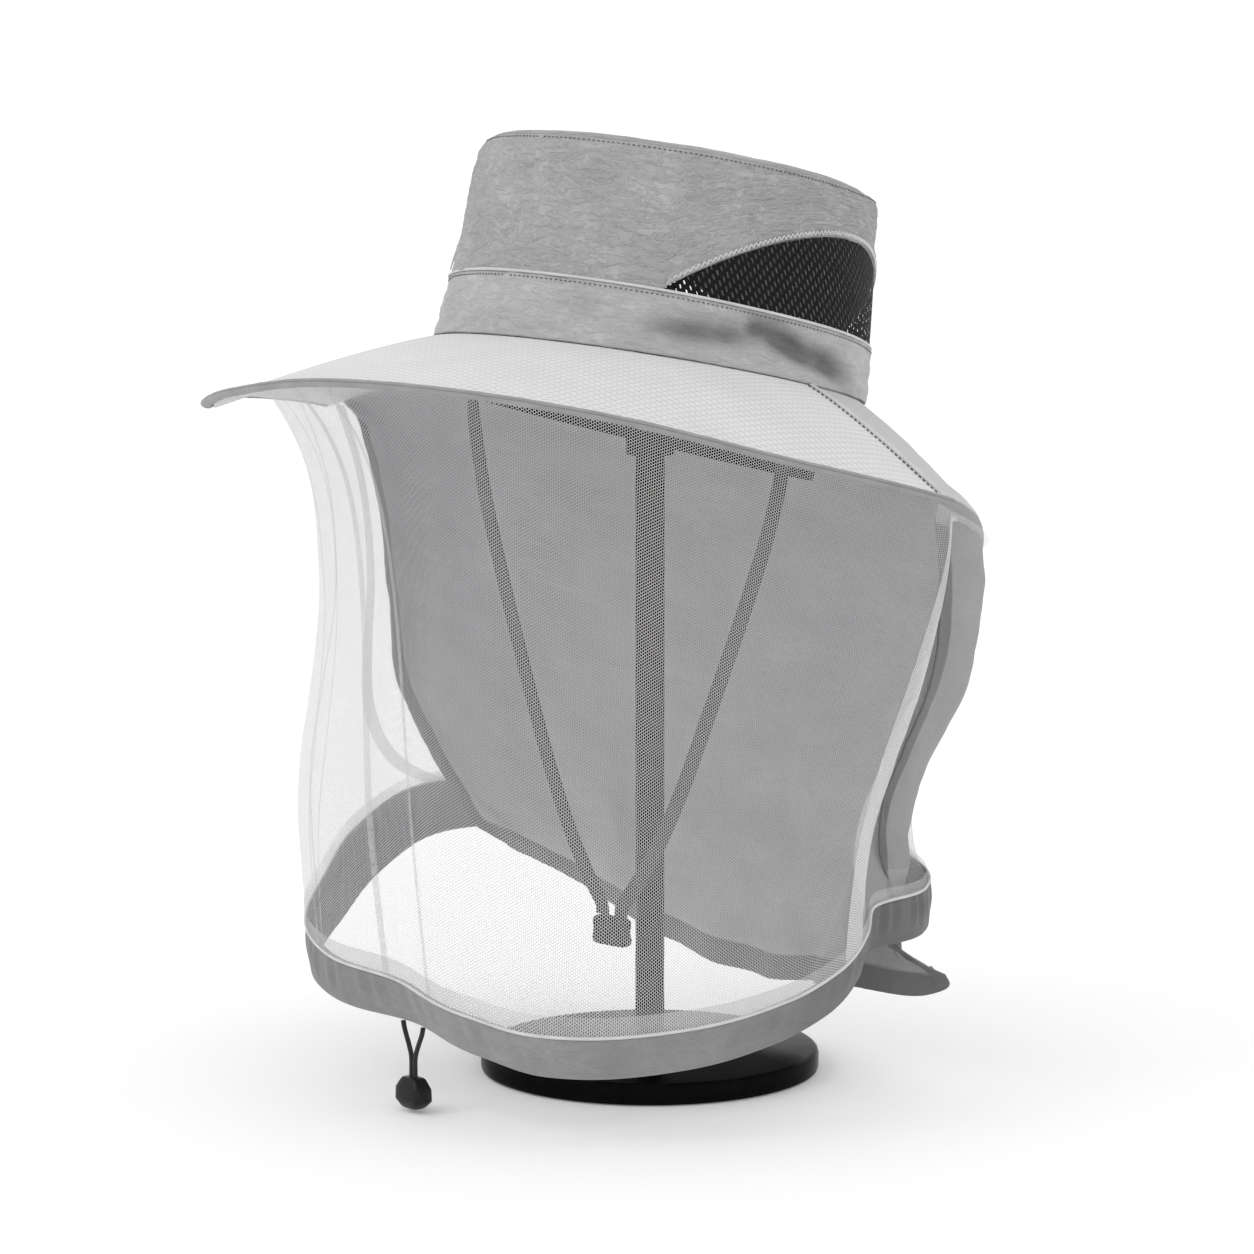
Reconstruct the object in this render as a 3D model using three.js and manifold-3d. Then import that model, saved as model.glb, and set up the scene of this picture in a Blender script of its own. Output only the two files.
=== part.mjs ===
// A bucket hat with mesh vents, a stiff front brim, a neck flap and a hanging insect net,
// on a plain round stand. Millimetres, +Z up. The origin is the middle of the stand's foot.
// The hat's front faces -Y and the wearer's left is +X. Angles round the hat count in
// degrees from its front, positive towards the wearer's left.
import * as THREE from 'three';
import Module from 'manifold-3d';
import { mergeVertices } from 'three/addons/utils/BufferGeometryUtils.js';

const wasm = await Module();
wasm.setup();

// Crown, in the hat's own frame, whose floor is the crown's lower edge
const CROWN_LENGTH = 188;
const CROWN_WIDTH = 172;
const TIP_LENGTH = 172;
const TIP_WIDTH = 158;
const CROWN_HEIGHT = 83;
const TIP_DOME = 3;
const CROWN_WALL = 1.5;
const CROWN_DENT = 1.6;
const BAND_TALL = 24;
const BAND_RISE = 2;
const VENT_TALL = 38;
const VENT_WALL = 1.2;
const VENT_FROM = 44;
const VENT_TO = 168;
const VENT_TIP = 0.9;
const ARCH_GAP = 0.5;

// Brim, which covers the front, and its edge binding
const BRIM_FRONT = 188;
const BRIM_SIDE = 163;
const BRIM_DROP = 42;
const BRIM_WALL = 2;
const SEAM_LEFT = 90;
const SEAM_RIGHT = 84;
const BINDING_WIDE = 4.5;
const BINDING_WALL = 3;

// Neck flap: it leaves the crown behind the brim and hangs down inside the net
const FLAP_BACK = 132;
const FLAP_SIDE = 148;
const FLAP_DROP = 267;
const FLAP_WALL = 1.2;
const FLAP_FOLD = 4;
const FLAP_CLEAR = 3.8;
const NEAR_SWEEP = 1.1;
const FAR_SWEEP = 2.4;
const FLAP_FLARE = 2.4;
const SEAM_SLACK = 0.25;

// Insect net, and the casing of its drawstring
const NET_DROP = 250;
const NET_WALL = 1;
const NET_FOLD = 2.6;
const NET_INSET = 24;
const NET_BELLY = 15;
const HANG_GAP = 0.9;
const MOUTH_REACH = 127;
const CASING_TALL = 18;
const CASING_TUCK = 11;
const CASING_WALL = 2.4;
const CASING_GAP = 0.8;
const CASING_CLEAR = 3.6;

// Drawstring, its lock, and the chin strap with its slider
const STRING_WIDE = 2;
const LOCK_WIDE = 16.5;
const LOCK_DEEP = 9;
const LOCK_TALL = 12.5;
const LOCK_CUT = 2.5;
const STRAP_WIDE = 7;
const STRAP_WALL = 1.2;
const SLIDER_WIDE = 19;
const SLIDER_DEEP = 6;
const SLIDER_TALL = 12;
const SLIDER_CUT = 1.5;

// Stand
const FOOT_WIDE = 141;
const FOOT_TALL = 9;
const FOOT_BEVEL = 1.2;
const POST_WIDE = 12;
const RING_WIDE = 146;
const RING_TALL = 7;
const RING_WALL = 3;
const RING_DEPTH = 28;
const RING_ROLL = 7;
const COLLAR_WIDE = 20;
const COLLAR_TALL = 14;
const BAR_WIDE = 8;
const CAP_WIDE = 90;
const CAP_WALL = 4;

// How the hat sits: its front is raised, and the wearer's right side is a little low.
// The stand is as tall as keeps the net's casing off the floor.
const TILT_BACK = 13.4;
const ROLL_LEFT = -0.5;
const CASING_LIFT = 24;
const SEAM_GAP = 0.3;
const HAT_HEIGHT = NET_DROP + CASING_TALL + CASING_LIFT;

const radians = THREE.MathUtils.degToRad;
const lerp = THREE.MathUtils.lerp;
const point = (x, y, z) => new THREE.Vector3(x, y, z);

const hatPose = new THREE.Matrix4().makeTranslation(0, 0, HAT_HEIGHT);
hatPose.multiply(new THREE.Matrix4().makeRotationY(radians(ROLL_LEFT)));
hatPose.multiply(new THREE.Matrix4().makeRotationX(-radians(TILT_BACK)));

// How far the brim and the flap's top droop round the hat, as shares of BRIM_DROP
const droopRows = [
  { at: -130, droop: 0.95 },
  { at: -88, droop: 0.62 },
  { at: -63, droop: 0.73 },
  { at: -42, droop: 0.98 },
  { at: -20, droop: 0.92 },
  { at: 0, droop: 0.79 },
  { at: 21, droop: 0.74 },
  { at: 42, droop: 0.77 },
  { at: 63, droop: 0.88 },
  { at: 88, droop: 0.95 },
  { at: 130, droop: 1.15 },
  { at: 180, droop: 1.2 },
];

// The drawn-in mouth of the net: its reach as a share of MOUTH_REACH and its drop as a
// share of NET_DROP. hold and fall shape the way down: a large hold keeps the net wide at
// first, and a large fall lets it swing in fast below the brim. belly is the share of
// NET_BELLY that it swells beside the flap, and tuck the share of CASING_TUCK that the
// casing's foot is drawn in.
const mouthRows = [
  { at: -102, reach: 1.21, drop: 0.78, hold: 1.1, fall: 3, belly: 0, tuck: 1 },
  { at: -74, reach: 1.105, drop: 0.824, hold: 1.1, fall: 6.2, belly: -0.4, tuck: 0.8 },
  { at: -40, reach: 1.113, drop: 0.932, hold: 1.1, fall: 11, belly: -0.4, tuck: 0.15 },
  { at: -7, reach: 1.055, drop: 0.95, hold: 1, fall: 8, belly: -0.1, tuck: 0.8 },
  { at: 11, reach: 1.124, drop: 0.976, hold: 1, fall: 5, belly: 0, tuck: 1 },
  { at: 24, reach: 1.16, drop: 0.992, hold: 1, fall: 4, belly: 0, tuck: 1 },
  { at: 45, reach: 1.0, drop: 1, hold: 1, fall: 2.6, belly: 0, tuck: 1 },
  { at: 69, reach: 0.98, drop: 0.96, hold: 1, fall: 1.8, belly: 0, tuck: 0.8 },
  { at: 78, reach: 0.998, drop: 0.92, hold: 1.1, fall: 1.6, belly: 0.2, tuck: 0.6 },
  { at: 88, reach: 0.945, drop: 0.88, hold: 1.3, fall: 1.7, belly: 0.3, tuck: 0.4 },
  { at: 100, reach: 0.85, drop: 0.852, hold: 1.6, fall: 2, belly: 0.5, tuck: 0.2 },
  { at: 122, reach: 0.908, drop: 0.852, hold: 1, fall: 1.5, belly: 0.65, tuck: 0 },
  { at: 150, reach: 0.87, drop: 0.83, hold: 1, fall: 1.5, belly: 0.55, tuck: 0.1 },
  { at: 180, reach: 0.79, drop: 0.816, hold: 1.2, fall: 1.8, belly: 0.3, tuck: 0.3 },
  { at: 225, reach: 1.0, drop: 0.79, hold: 1.1, fall: 2.4, belly: 0, tuck: 0.6 },
];

// How far the net swells or draws in beside the flap on its way down, in NET_BELLY
const bellyRows = [
  { down: 0, out: 0 },
  { down: 0.15, out: 0.75 },
  { down: 0.28, out: 1 },
  { down: 0.43, out: 0.95 },
  { down: 0.585, out: 0.25 },
  { down: 0.75, out: -0.5 },
  { down: 0.9, out: -0.35 },
  { down: 1, out: 0 },
];

// The flap's hem from its near corner, round the back, to its far corner: its azimuth, its
// reach as a share of FLAP_SIDE and its drop as a share of FLAP_DROP
const hemRows = [
  { along: 0, azimuth: 114, reach: 0.92, drop: 0.914 },
  { along: 0.06, azimuth: 116, reach: 0.8, drop: 0.951 },
  { along: 0.12, azimuth: 119, reach: 0.69, drop: 0.957 },
  { along: 0.24, azimuth: 137, reach: 0.525, drop: 0.968 },
  { along: 0.45, azimuth: 180, reach: 0.54, drop: 1 },
  { along: 0.57, azimuth: 200, reach: 0.595, drop: 0.997 },
  { along: 0.7, azimuth: 219, reach: 0.715, drop: 0.969 },
  { along: 0.78, azimuth: 228, reach: 0.766, drop: 0.928 },
  { along: 0.85, azimuth: 236, reach: 0.81, drop: 0.89 },
  { along: 0.93, azimuth: 247, reach: 0.9, drop: 0.838 },
  { along: 1, azimuth: 255.5, reach: 0.93, drop: 0.794 },
];

// Slow waves in the crown, the net and the flap: how fast each runs, where it starts and its
// share of the size named above
const dentWaves = [{ speed: 3, start: 0.8, share: 0.6 }, { speed: 7, start: 2.1, share: 0.4 }];
const netWaves = [{ speed: 14, start: 0.6, share: 0.7 }, { speed: 9, start: 2, share: 0.3 }];
const flapWaves = [{ speed: 39.6, start: 0, share: 0.75 }, { speed: 11, start: 1, share: 0.25 }];

// Chosen points of the chin strap's two sides, from the crown to the slider
const strapRows = [
  { down: 0, across: 1, forward: 0 },
  { down: 0.1, across: 0.99, forward: 0.02 },
  { down: 0.236, across: 0.91, forward: 0.2 },
  { down: 0.36, across: 0.8, forward: 0.4 },
  { down: 0.485, across: 0.677, forward: 0.65 },
  { down: 0.61, across: 0.545, forward: 0.85 },
  { down: 0.735, across: 0.405, forward: 0.95 },
  { down: 0.85, across: 0.25, forward: 1 },
  { down: 0.93, across: 0.11, forward: 1 },
  { down: 0.975, across: 0.015, forward: 1 },
  { down: 0.99, across: 0, forward: 1 },
  { down: 1, across: 0, forward: 1 },
];
const strapTops = { left: [84.8, -12.4, 291.2], right: [-84.1, -17.3, 290.8] };
const STRAP_SPREAD = 5.2;
const STRAP_END = 66.35;
const SLIDER_PLACE = [-5, -18, 60];

// Chosen points of the drawstring's two strands, from the casing to the lock: how far down,
// and how far apart as a share of STRING_SPREAD
const strandRows = [
  { down: 0, apart: 1 },
  { down: 0.15, apart: 0.86 },
  { down: 0.45, apart: 0.4 },
  { down: 0.65, apart: 0.19 },
  { down: 1, apart: 0.18 },
];
const STRING_AZIMUTH = -8.6;
const STRING_SPREAD = 6.6;
const LOCK_LIFT = 1.5;

// A table whose key goes round a full turn, with a lap before and a lap after it
function laps(rows) {
  const shifted = (turn) => rows.map((row) => ({ ...row, at: row.at + turn }));
  return [...shifted(-360), ...rows, ...shifted(360)];
}

// A smooth value of one column between a table's rows
function between(rows, key, column, at) {
  let i = 0;
  while (i < rows.length - 2 && rows[i + 1][key] <= at) i += 1;
  const [b, c] = [rows[i], rows[i + 1]];
  const a = rows[i - 1] ?? b;
  const d = rows[i + 2] ?? c;
  const step = c[key] - b[key];
  const s = THREE.MathUtils.clamp((at - b[key]) / step, 0, 1);
  const leave = ((c[column] - a[column]) / (c[key] - a[key])) * step;
  const arrive = ((d[column] - b[column]) / (d[key] - b[key])) * step;
  return b[column] * (2 * s ** 3 - 3 * s ** 2 + 1) + leave * (s ** 3 - 2 * s ** 2 + s)
    + c[column] * (3 * s ** 2 - 2 * s ** 3) + arrive * (s ** 3 - s ** 2);
}

const droops = laps(droopRows);
const mouths = laps(mouthRows);

// The sum of some waves at a place along them
function ripple(waves, at) {
  return waves.reduce((sum, wave) => sum + wave.share * Math.sin(wave.speed * at + wave.start), 0);
}

// Evenly spaced values from one end to the other, both ends included
function spaced(from, to, count) {
  return Array.from({ length: count + 1 }, (_, i) => lerp(from, to, i / count));
}

// A closed wall between two grids of points, its outside and its inside. Each grid is a
// list of columns. A wall that goes all the way round joins its last column to its first.
function wall(outside, inside, round) {
  const columns = outside.length;
  const rows = outside[0].length;
  const flat = [...outside.flat(), ...inside.flat()];
  const at = (side, i, j) => (side * columns + (i % columns)) * rows + j;
  const faces = [];
  const quad = (a, b, c, d) => faces.push(a, b, c, a, c, d);
  const spans = round ? columns : columns - 1;
  for (let i = 0; i < spans; i += 1) {
    for (let j = 0; j < rows - 1; j += 1) {
      quad(at(0, i, j), at(0, i + 1, j), at(0, i + 1, j + 1), at(0, i, j + 1));
      quad(at(1, i, j), at(1, i, j + 1), at(1, i + 1, j + 1), at(1, i + 1, j));
    }
    quad(at(1, i, 0), at(1, i + 1, 0), at(0, i + 1, 0), at(0, i, 0));
    quad(at(0, i, rows - 1), at(0, i + 1, rows - 1), at(1, i + 1, rows - 1), at(1, i, rows - 1));
  }
  for (let j = 0; j < rows - 1 && !round; j += 1) {
    quad(at(0, 0, j), at(0, 0, j + 1), at(1, 0, j + 1), at(1, 0, j));
    const last = columns - 1;
    quad(at(0, last, j), at(1, last, j), at(1, last, j + 1), at(0, last, j + 1));
  }
  return facingOut(flat, faces);
}

// An indexed geometry whose faces are turned to enclose a positive volume
function facingOut(points, faces) {
  let volume = 0;
  for (let i = 0; i < faces.length; i += 3) {
    const [a, b, c] = faces.slice(i, i + 3).map((k) => points[k]);
    volume += a.dot(b.clone().cross(c));
  }
  const turned = volume < 0 ? faces.slice().reverse() : faces;
  const geometry = new THREE.BufferGeometry().setFromPoints(points);
  geometry.setIndex(turned);
  return geometry;
}

// A second grid, moved off the first along its own normals
function offset(grid, distance, round) {
  const columns = grid.length;
  const pick = (i) => (round ? (i + columns) % columns : THREE.MathUtils.clamp(i, 0, columns - 1));
  return grid.map((column, i) => column.map((p, j) => {
    const across = grid[pick(i + 1)][j].clone().sub(grid[pick(i - 1)][j]);
    const down = column[Math.min(j + 1, column.length - 1)].clone().sub(column[Math.max(j - 1, 0)]);
    return p.clone().addScaledVector(across.cross(down).normalize(), distance);
  }));
}

function mesh(name, geometry, color, roughness, metalness = 0) {
  geometry.computeVertexNormals();
  const finish = new THREE.MeshStandardMaterial({ color, roughness, metalness });
  const piece = new THREE.Mesh(geometry, finish);
  piece.name = name;
  return piece;
}

const fabric = (name, geometry) => mesh(name, geometry, 0xc4c4c6, 0.9);
const net = (name, geometry) => mesh(name, geometry, 0xe9e9ea, 0.9);
const black = (name, geometry) => mesh(name, geometry, 0x1c1c1e, 0.6);
const lacquer = (name, geometry) => mesh(name, geometry, 0x1a1412, 0.2, 0.1);

// The crown's side at an angle and a height over its lower edge, moved in by inset
function crownPoint(angle, height, inset = 0) {
  const share = height / CROWN_HEIGHT;
  const turn = radians(angle);
  const soft = Math.sin(Math.PI * Math.min(share, 1));
  const dent = CROWN_DENT * soft * ripple(dentWaves, turn);
  const wide = lerp(CROWN_WIDTH, TIP_WIDTH, share) / 2 + dent - inset;
  const long = lerp(CROWN_LENGTH, TIP_LENGTH, share) / 2 + dent - inset;
  return point(wide * Math.sin(turn), -long * Math.cos(turn), height);
}

// How high a vent's arch stands over the band's seam at an angle
function archAt(angle) {
  const share = (Math.abs(angle) - VENT_FROM) / (VENT_TO - VENT_FROM);
  return share > 0 && share < 1 ? VENT_TALL * Math.sin(Math.PI * share) ** 0.85 : 0;
}

// The band's seam stands higher at the front than at the back
const seamAt = (angle) => BAND_TALL + BAND_RISE * Math.cos(radians(angle));
const ventAngles = spaced(VENT_FROM + VENT_TIP, VENT_TO - VENT_TIP, 22);
const crownAngles = [
  ...spaced(-VENT_FROM, VENT_FROM, 11),
  ...ventAngles,
  ...spaced(VENT_TO, 360 - VENT_TO, 4),
  ...ventAngles.map((angle) => 360 - angle).reverse(),
];

function crownBand() {
  const grid = (inset) => crownAngles.map((angle) => spaced(0, seamAt(angle) - SEAM_GAP, 2)
    .map((height) => crownPoint(angle, height, inset)));
  return fabric('crown_band', wall(grid(0), grid(CROWN_WALL), true));
}

function crownSide() {
  const top = CROWN_HEIGHT - SEAM_GAP;
  const grid = (inset) => crownAngles.map((angle) => {
    const low = seamAt(angle) + archAt(angle > 180 ? 360 - angle : angle);
    return spaced(low, top, 3).map((height) => crownPoint(angle, height, inset));
  });
  return fabric('crown_side', wall(grid(0), grid(CROWN_WALL), true));
}

function vent(name, side) {
  const grid = (inset) => ventAngles.map((angle) => {
    const high = seamAt(angle) + archAt(angle) - ARCH_GAP;
    return spaced(seamAt(angle), high, 3).map((height) => crownPoint(side * angle, height, inset));
  });
  return black(name, wall(grid(0), grid(VENT_WALL), false));
}

// The domed top panel at a share of the way from its middle to its edge
function tipPoint(angle, share, lower) {
  const rim = crownPoint(angle, CROWN_HEIGHT);
  const puff = TIP_DOME * (1 - share ** 4);
  return point(rim.x * share, rim.y * share, CROWN_HEIGHT + CROWN_WALL + puff - lower);
}

// A closed plate between an upper and a lower height of the top panel's dome
function domePlate(angles, reach, upper, lower, rings) {
  const side = (depth) => angles.map((angle) => spaced(reach / rings, reach, rings - 1)
    .map((share) => tipPoint(angle, share, depth)));
  const [top, under] = [side(upper), side(lower)];
  const points = [...top.flat(), ...under.flat(), tipPoint(0, 0, upper), tipPoint(0, 0, lower)];
  const count = angles.length;
  const at = (k, i, j) => (k * count + (i % count)) * rings + j;
  const faces = [];
  angles.forEach((_, i) => {
    for (let j = 0; j < rings - 1; j += 1) {
      faces.push(at(0, i, j), at(0, i, j + 1), at(0, i + 1, j + 1));
      faces.push(at(0, i, j), at(0, i + 1, j + 1), at(0, i + 1, j));
      faces.push(at(1, i, j), at(1, i + 1, j + 1), at(1, i, j + 1));
      faces.push(at(1, i, j), at(1, i + 1, j), at(1, i + 1, j + 1));
    }
    faces.push(points.length - 2, at(0, i, 0), at(0, i + 1, 0));
    faces.push(points.length - 1, at(1, i + 1, 0), at(1, i, 0));
    faces.push(at(0, i, rings - 1), at(1, i, rings - 1), at(1, i + 1, rings - 1));
    faces.push(at(0, i, rings - 1), at(1, i + 1, rings - 1), at(0, i + 1, rings - 1));
  });
  return facingOut(points, faces);
}

const TIP_RINGS = 4;
const crownTip = () => fabric('crown_tip', domePlate(crownAngles.filter((_, i) => i % 2 === 0), 1, 0,
  CROWN_WALL, TIP_RINGS));

// The brim, and behind its seams the flap's slope, at a share of the way out to its edge
function slopePoint(angle, share, beyond = 0) {
  const turn = radians(angle);
  const front = Math.cos(turn) > 0;
  const seam = Math.abs(Math.cos(turn)) ** 0.5;
  const side = lerp(BRIM_SIDE, front ? BRIM_SIDE : FLAP_SIDE, seam);
  const long = lerp(BRIM_SIDE, front ? BRIM_FRONT : FLAP_BACK, seam);
  const inner = crownPoint(angle, 0, CROWN_WALL);
  const outer = point((side + beyond) * Math.sin(turn), -(long + beyond) * Math.cos(turn), 0);
  const place = inner.lerp(outer, share);
  const droop = between(droops, 'at', 'droop', angle > 180 ? angle - 360 : angle);
  place.z = -SEAM_GAP - BRIM_DROP * droop * share ** 1.15;
  return place;
}

function brim() {
  const angles = spaced(-SEAM_RIGHT, SEAM_LEFT, 38);
  const upper = angles.map((angle) => spaced(0, 1, 4).map((share) => slopePoint(angle, share)));
  const lower = upper.map((column) => column.map((p) => p.clone().setZ(p.z - BRIM_WALL)));
  return fabric('brim', wall(upper, lower, false));
}

function brimBinding() {
  const angles = spaced(-SEAM_RIGHT, SEAM_LEFT, 44);
  const rise = (BINDING_WALL - BRIM_WALL) / 2;
  const strip = (lift) => angles.map((angle) => [SEAM_GAP, BINDING_WIDE]
    .map((beyond) => slopePoint(angle, 1, beyond).add(point(0, 0, lift))));
  const geometry = wall(strip(rise), strip(rise - BINDING_WALL), false);
  return mesh('brim_binding', geometry, 0x9b9b9e, 0.85);
}

// Where a point lies round and out from the stand's axis
const azimuthOf = (p) => THREE.MathUtils.radToDeg(Math.atan2(p.x, -p.y));
const reachOf = (p) => Math.hypot(p.x, p.y);
function fromAxis(azimuth, reach, height) {
  const turn = radians(azimuth);
  return point(reach * Math.sin(turn), -reach * Math.cos(turn), height);
}

// The line that the net hangs from: set in under the brim, and round the flap's slope
function hangPoint(angle) {
  const edge = slopePoint(angle, 1);
  const span = edge.clone().setZ(0).sub(crownPoint(angle, 0)).length();
  const inset = NET_INSET * Math.sqrt(Math.max(Math.cos(radians(angle)), 0));
  const place = slopePoint(angle, 1 - inset / span);
  place.z -= BRIM_WALL + HANG_GAP;
  return place.applyMatrix4(hatPose);
}
const hangRows = laps(spaced(-180, 176, 89).map((angle) => {
  const place = hangPoint(angle);
  return { at: azimuthOf(place), reach: reachOf(place), height: place.z };
}).sort((a, b) => a.at - b.at));

const mouthAt = (azimuth) => ({
  reach: MOUTH_REACH * between(mouths, 'at', 'reach', azimuth),
  height: HAT_HEIGHT - NET_DROP * between(mouths, 'at', 'drop', azimuth),
});

// The net's outside at an azimuth and a share of the way down to its casing
function netReach(azimuth, share) {
  const turned = azimuth > 180 ? azimuth - 360 : azimuth;
  const top = between(hangRows, 'at', 'reach', turned);
  const hold = between(mouths, 'at', 'hold', turned);
  const fall = between(mouths, 'at', 'fall', turned);
  const swing = (1 - share ** hold) ** fall;
  const fold = NET_FOLD * ripple(netWaves, radians(azimuth));
  const mouth = mouthAt(turned).reach;
  const swell = NET_BELLY * between(mouths, 'at', 'belly', turned);
  const belly = swell * between(bellyRows, 'down', 'out', share);
  return mouth + (top - mouth) * swing + belly + fold * share * (1 - 0.6 * share);
}
function netPoint(azimuth, share) {
  const turned = azimuth > 180 ? azimuth - 360 : azimuth;
  const top = between(hangRows, 'at', 'height', turned);
  return fromAxis(azimuth, netReach(azimuth, share), lerp(top, mouthAt(turned).height + CASING_GAP, share));
}

const NET_SHARES = [0, 0.03, 0.08, 0.15, 0.25, 0.38, 0.52, 0.68, 0.84, 1];
const roundAngles = spaced(-180, 174, 59);

function insectNet() {
  const outside = roundAngles.map((azimuth) => NET_SHARES.map((share) => netPoint(azimuth, share)));
  return net('net', wall(outside, offset(outside, NET_WALL, true), true));
}

function netCasing() {
  const rows = [[0, 0], [0.5, CASING_WALL * 0.25], [1, 0]];
  const side = (out, way) => roundAngles.map((azimuth) => rows.map(([share, bulge]) => {
    const mouth = mouthAt(azimuth);
    const tuck = CASING_TUCK * between(mouths, 'at', 'tuck', azimuth) * share;
    const reach = netReach(azimuth, 1) + out + way * bulge - tuck;
    return fromAxis(azimuth, reach, mouth.height - CASING_TALL * share);
  }));
  return mesh('net_casing', wall(side(0, 1), side(-CASING_WALL, -1), true), 0xa9a9ac, 0.9);
}

// The flap hangs inside the net and its casing, and its hem may spread below them
function flapLimit(azimuth, height) {
  const turned = azimuth > 180 ? azimuth - 360 : azimuth;
  const mouth = mouthAt(turned);
  const top = between(hangRows, 'at', 'height', turned);
  const share = THREE.MathUtils.clamp((top - height) / (top - mouth.height), 0, 1);
  const below = Math.max(mouth.height - CASING_TALL - height - FLAP_CLEAR, 0);
  const foot = THREE.MathUtils.clamp((mouth.height - height) / CASING_TALL, 0, 1);
  const tuck = CASING_TUCK * between(mouths, 'at', 'tuck', turned) * foot;
  const casing = share === 1 ? CASING_CLEAR + tuck : 0;
  return netReach(azimuth, share) - FLAP_CLEAR - casing + FLAP_FLARE * below;
}

const SLOPE_SHARES = [0, 0.35, 0.7, 0.92];
const HANG_SHARES = [0.03, 0.1, 0.2, 0.31, 0.42, 0.53, 0.63, 0.73, 0.82, 0.9, 0.95, 1];

function neckFlap() {
  const from = SEAM_LEFT + SEAM_SLACK;
  const to = 360 - SEAM_RIGHT - SEAM_SLACK;
  const columns = spaced(0, 1, 36);
  const outside = columns.map((along) => {
    const angle = lerp(from, to, along);
    const slope = SLOPE_SHARES.map((share) => slopePoint(angle, share).applyMatrix4(hatPose));
    const shoulder = hangPoint(angle);
    const start = THREE.MathUtils.euclideanModulo(azimuthOf(shoulder), 360);
    const hem = (column) => between(hemRows, 'along', column, along);
    const low = HAT_HEIGHT - FLAP_DROP * hem('drop');
    const edge = Math.abs(2 * along - 1) ** 3;
    const sweep = lerp(NEAR_SWEEP, FAR_SWEEP, along);
    const hang = HANG_SHARES.map((share) => {
      const azimuth = lerp(start, hem('azimuth'), share ** sweep);
      const height = lerp(shoulder.z, low, share);
      const drawn = 1 - (1 - share ** 2) ** 1.5;
      const fold = FLAP_FOLD * share * (1 - edge) * ripple(flapWaves, along);
      const own = lerp(reachOf(shoulder), FLAP_SIDE * hem('reach'), drawn) + fold;
      return fromAxis(azimuth, Math.min(own, flapLimit(azimuth, height)), height);
    });
    return [...slope, ...hang];
  });
  return fabric('neck_flap', wall(outside, offset(outside, FLAP_WALL, false), false));
}

// A closed tube of flat or round section along chosen points, from end to end
function tube(points, section, steps) {
  const path = new THREE.CatmullRomCurve3(points.map((p) => point(...p)));
  return new THREE.ExtrudeGeometry(section, { extrudePath: path, steps, bevelEnabled: false });
}

function ribbonSection(wide, thick) {
  const shape = new THREE.Shape();
  shape.moveTo(-thick / 2, -wide / 2);
  shape.lineTo(thick / 2, -wide / 2);
  shape.lineTo(thick / 2, wide / 2);
  shape.lineTo(-thick / 2, wide / 2);
  return shape;
}

function roundSection(wide, sides) {
  const corners = spaced(0, 360, sides).slice(0, sides)
    .map((angle) => new THREE.Vector2(Math.cos(radians(angle)), Math.sin(radians(angle))));
  return new THREE.Shape(corners.map((corner) => corner.multiplyScalar(wide / 2)));
}

function chinStrap(side) {
  const section = ribbonSection(STRAP_WIDE, STRAP_WALL);
  const [x, y, z] = strapTops[side];
  const foot = SLIDER_PLACE[0] + Math.sign(x) * STRAP_SPREAD;
  const route = strapRows.map((row) => [
    lerp(foot, x, row.across),
    lerp(y, SLIDER_PLACE[1], row.forward),
    lerp(z, STRAP_END, row.down),
  ]);
  return black(`chin_strap_${side}`, tube(route, section, 24));
}

// A block with cut corners, wide in X, standing on z = 0
function cutBlock(wide, deep, tall, cut) {
  const shape = new THREE.Shape();
  const [x, z] = [wide / 2, tall];
  shape.moveTo(-x + cut, 0);
  shape.lineTo(x - cut, 0);
  shape.lineTo(x, cut);
  shape.lineTo(x, z - cut);
  shape.lineTo(x - cut, z);
  shape.lineTo(-x + cut, z);
  shape.lineTo(-x, z - cut);
  shape.lineTo(-x, cut);
  const block = new THREE.ExtrudeGeometry(shape, { depth: deep, bevelEnabled: false });
  return block.translate(0, 0, -deep / 2).rotateX(Math.PI / 2);
}

function chinSlider() {
  const piece = black('chin_slider', cutBlock(SLIDER_WIDE, SLIDER_DEEP, SLIDER_TALL, SLIDER_CUT));
  piece.position.set(SLIDER_PLACE[0], SLIDER_PLACE[1], SLIDER_PLACE[2] - SLIDER_TALL / 2);
  return piece;
}

// The drawstring leaves the casing's foot in two strands, which run together to the lock
function drawstring() {
  const azimuth = STRING_AZIMUTH;
  const tuck = CASING_TUCK * between(mouths, 'at', 'tuck', azimuth);
  const { x, y } = fromAxis(azimuth, netReach(azimuth, 1) - tuck - CASING_WALL / 2, 0);
  const across = fromAxis(azimuth + 90, 1, 0);
  const foot = LOCK_LIFT + LOCK_TALL + SEAM_GAP;
  const strand = (side) => {
    const own = azimuthOf(point(x, y, 0).addScaledVector(across, side * STRING_SPREAD));
    const root = mouthAt(own).height - CASING_TALL - CASING_GAP;
    return strandRows.map((row) => {
      const apart = side * STRING_SPREAD * row.apart;
      return [x + apart * across.x, y + apart * across.y, lerp(root, foot, row.down)];
    });
  };
  const section = roundSection(STRING_WIDE, 8);
  const piece = black('cord_lock', cutBlock(LOCK_WIDE, LOCK_DEEP, LOCK_TALL, LOCK_CUT));
  piece.position.set(x, y, LOCK_LIFT);
  piece.rotation.z = Math.atan2(across.y, across.x);
  return [
    black('drawstring_a', tube(strand(1), section, 8)),
    black('drawstring_b', tube(strand(-1), section, 8)),
    piece,
  ];
}

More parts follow.
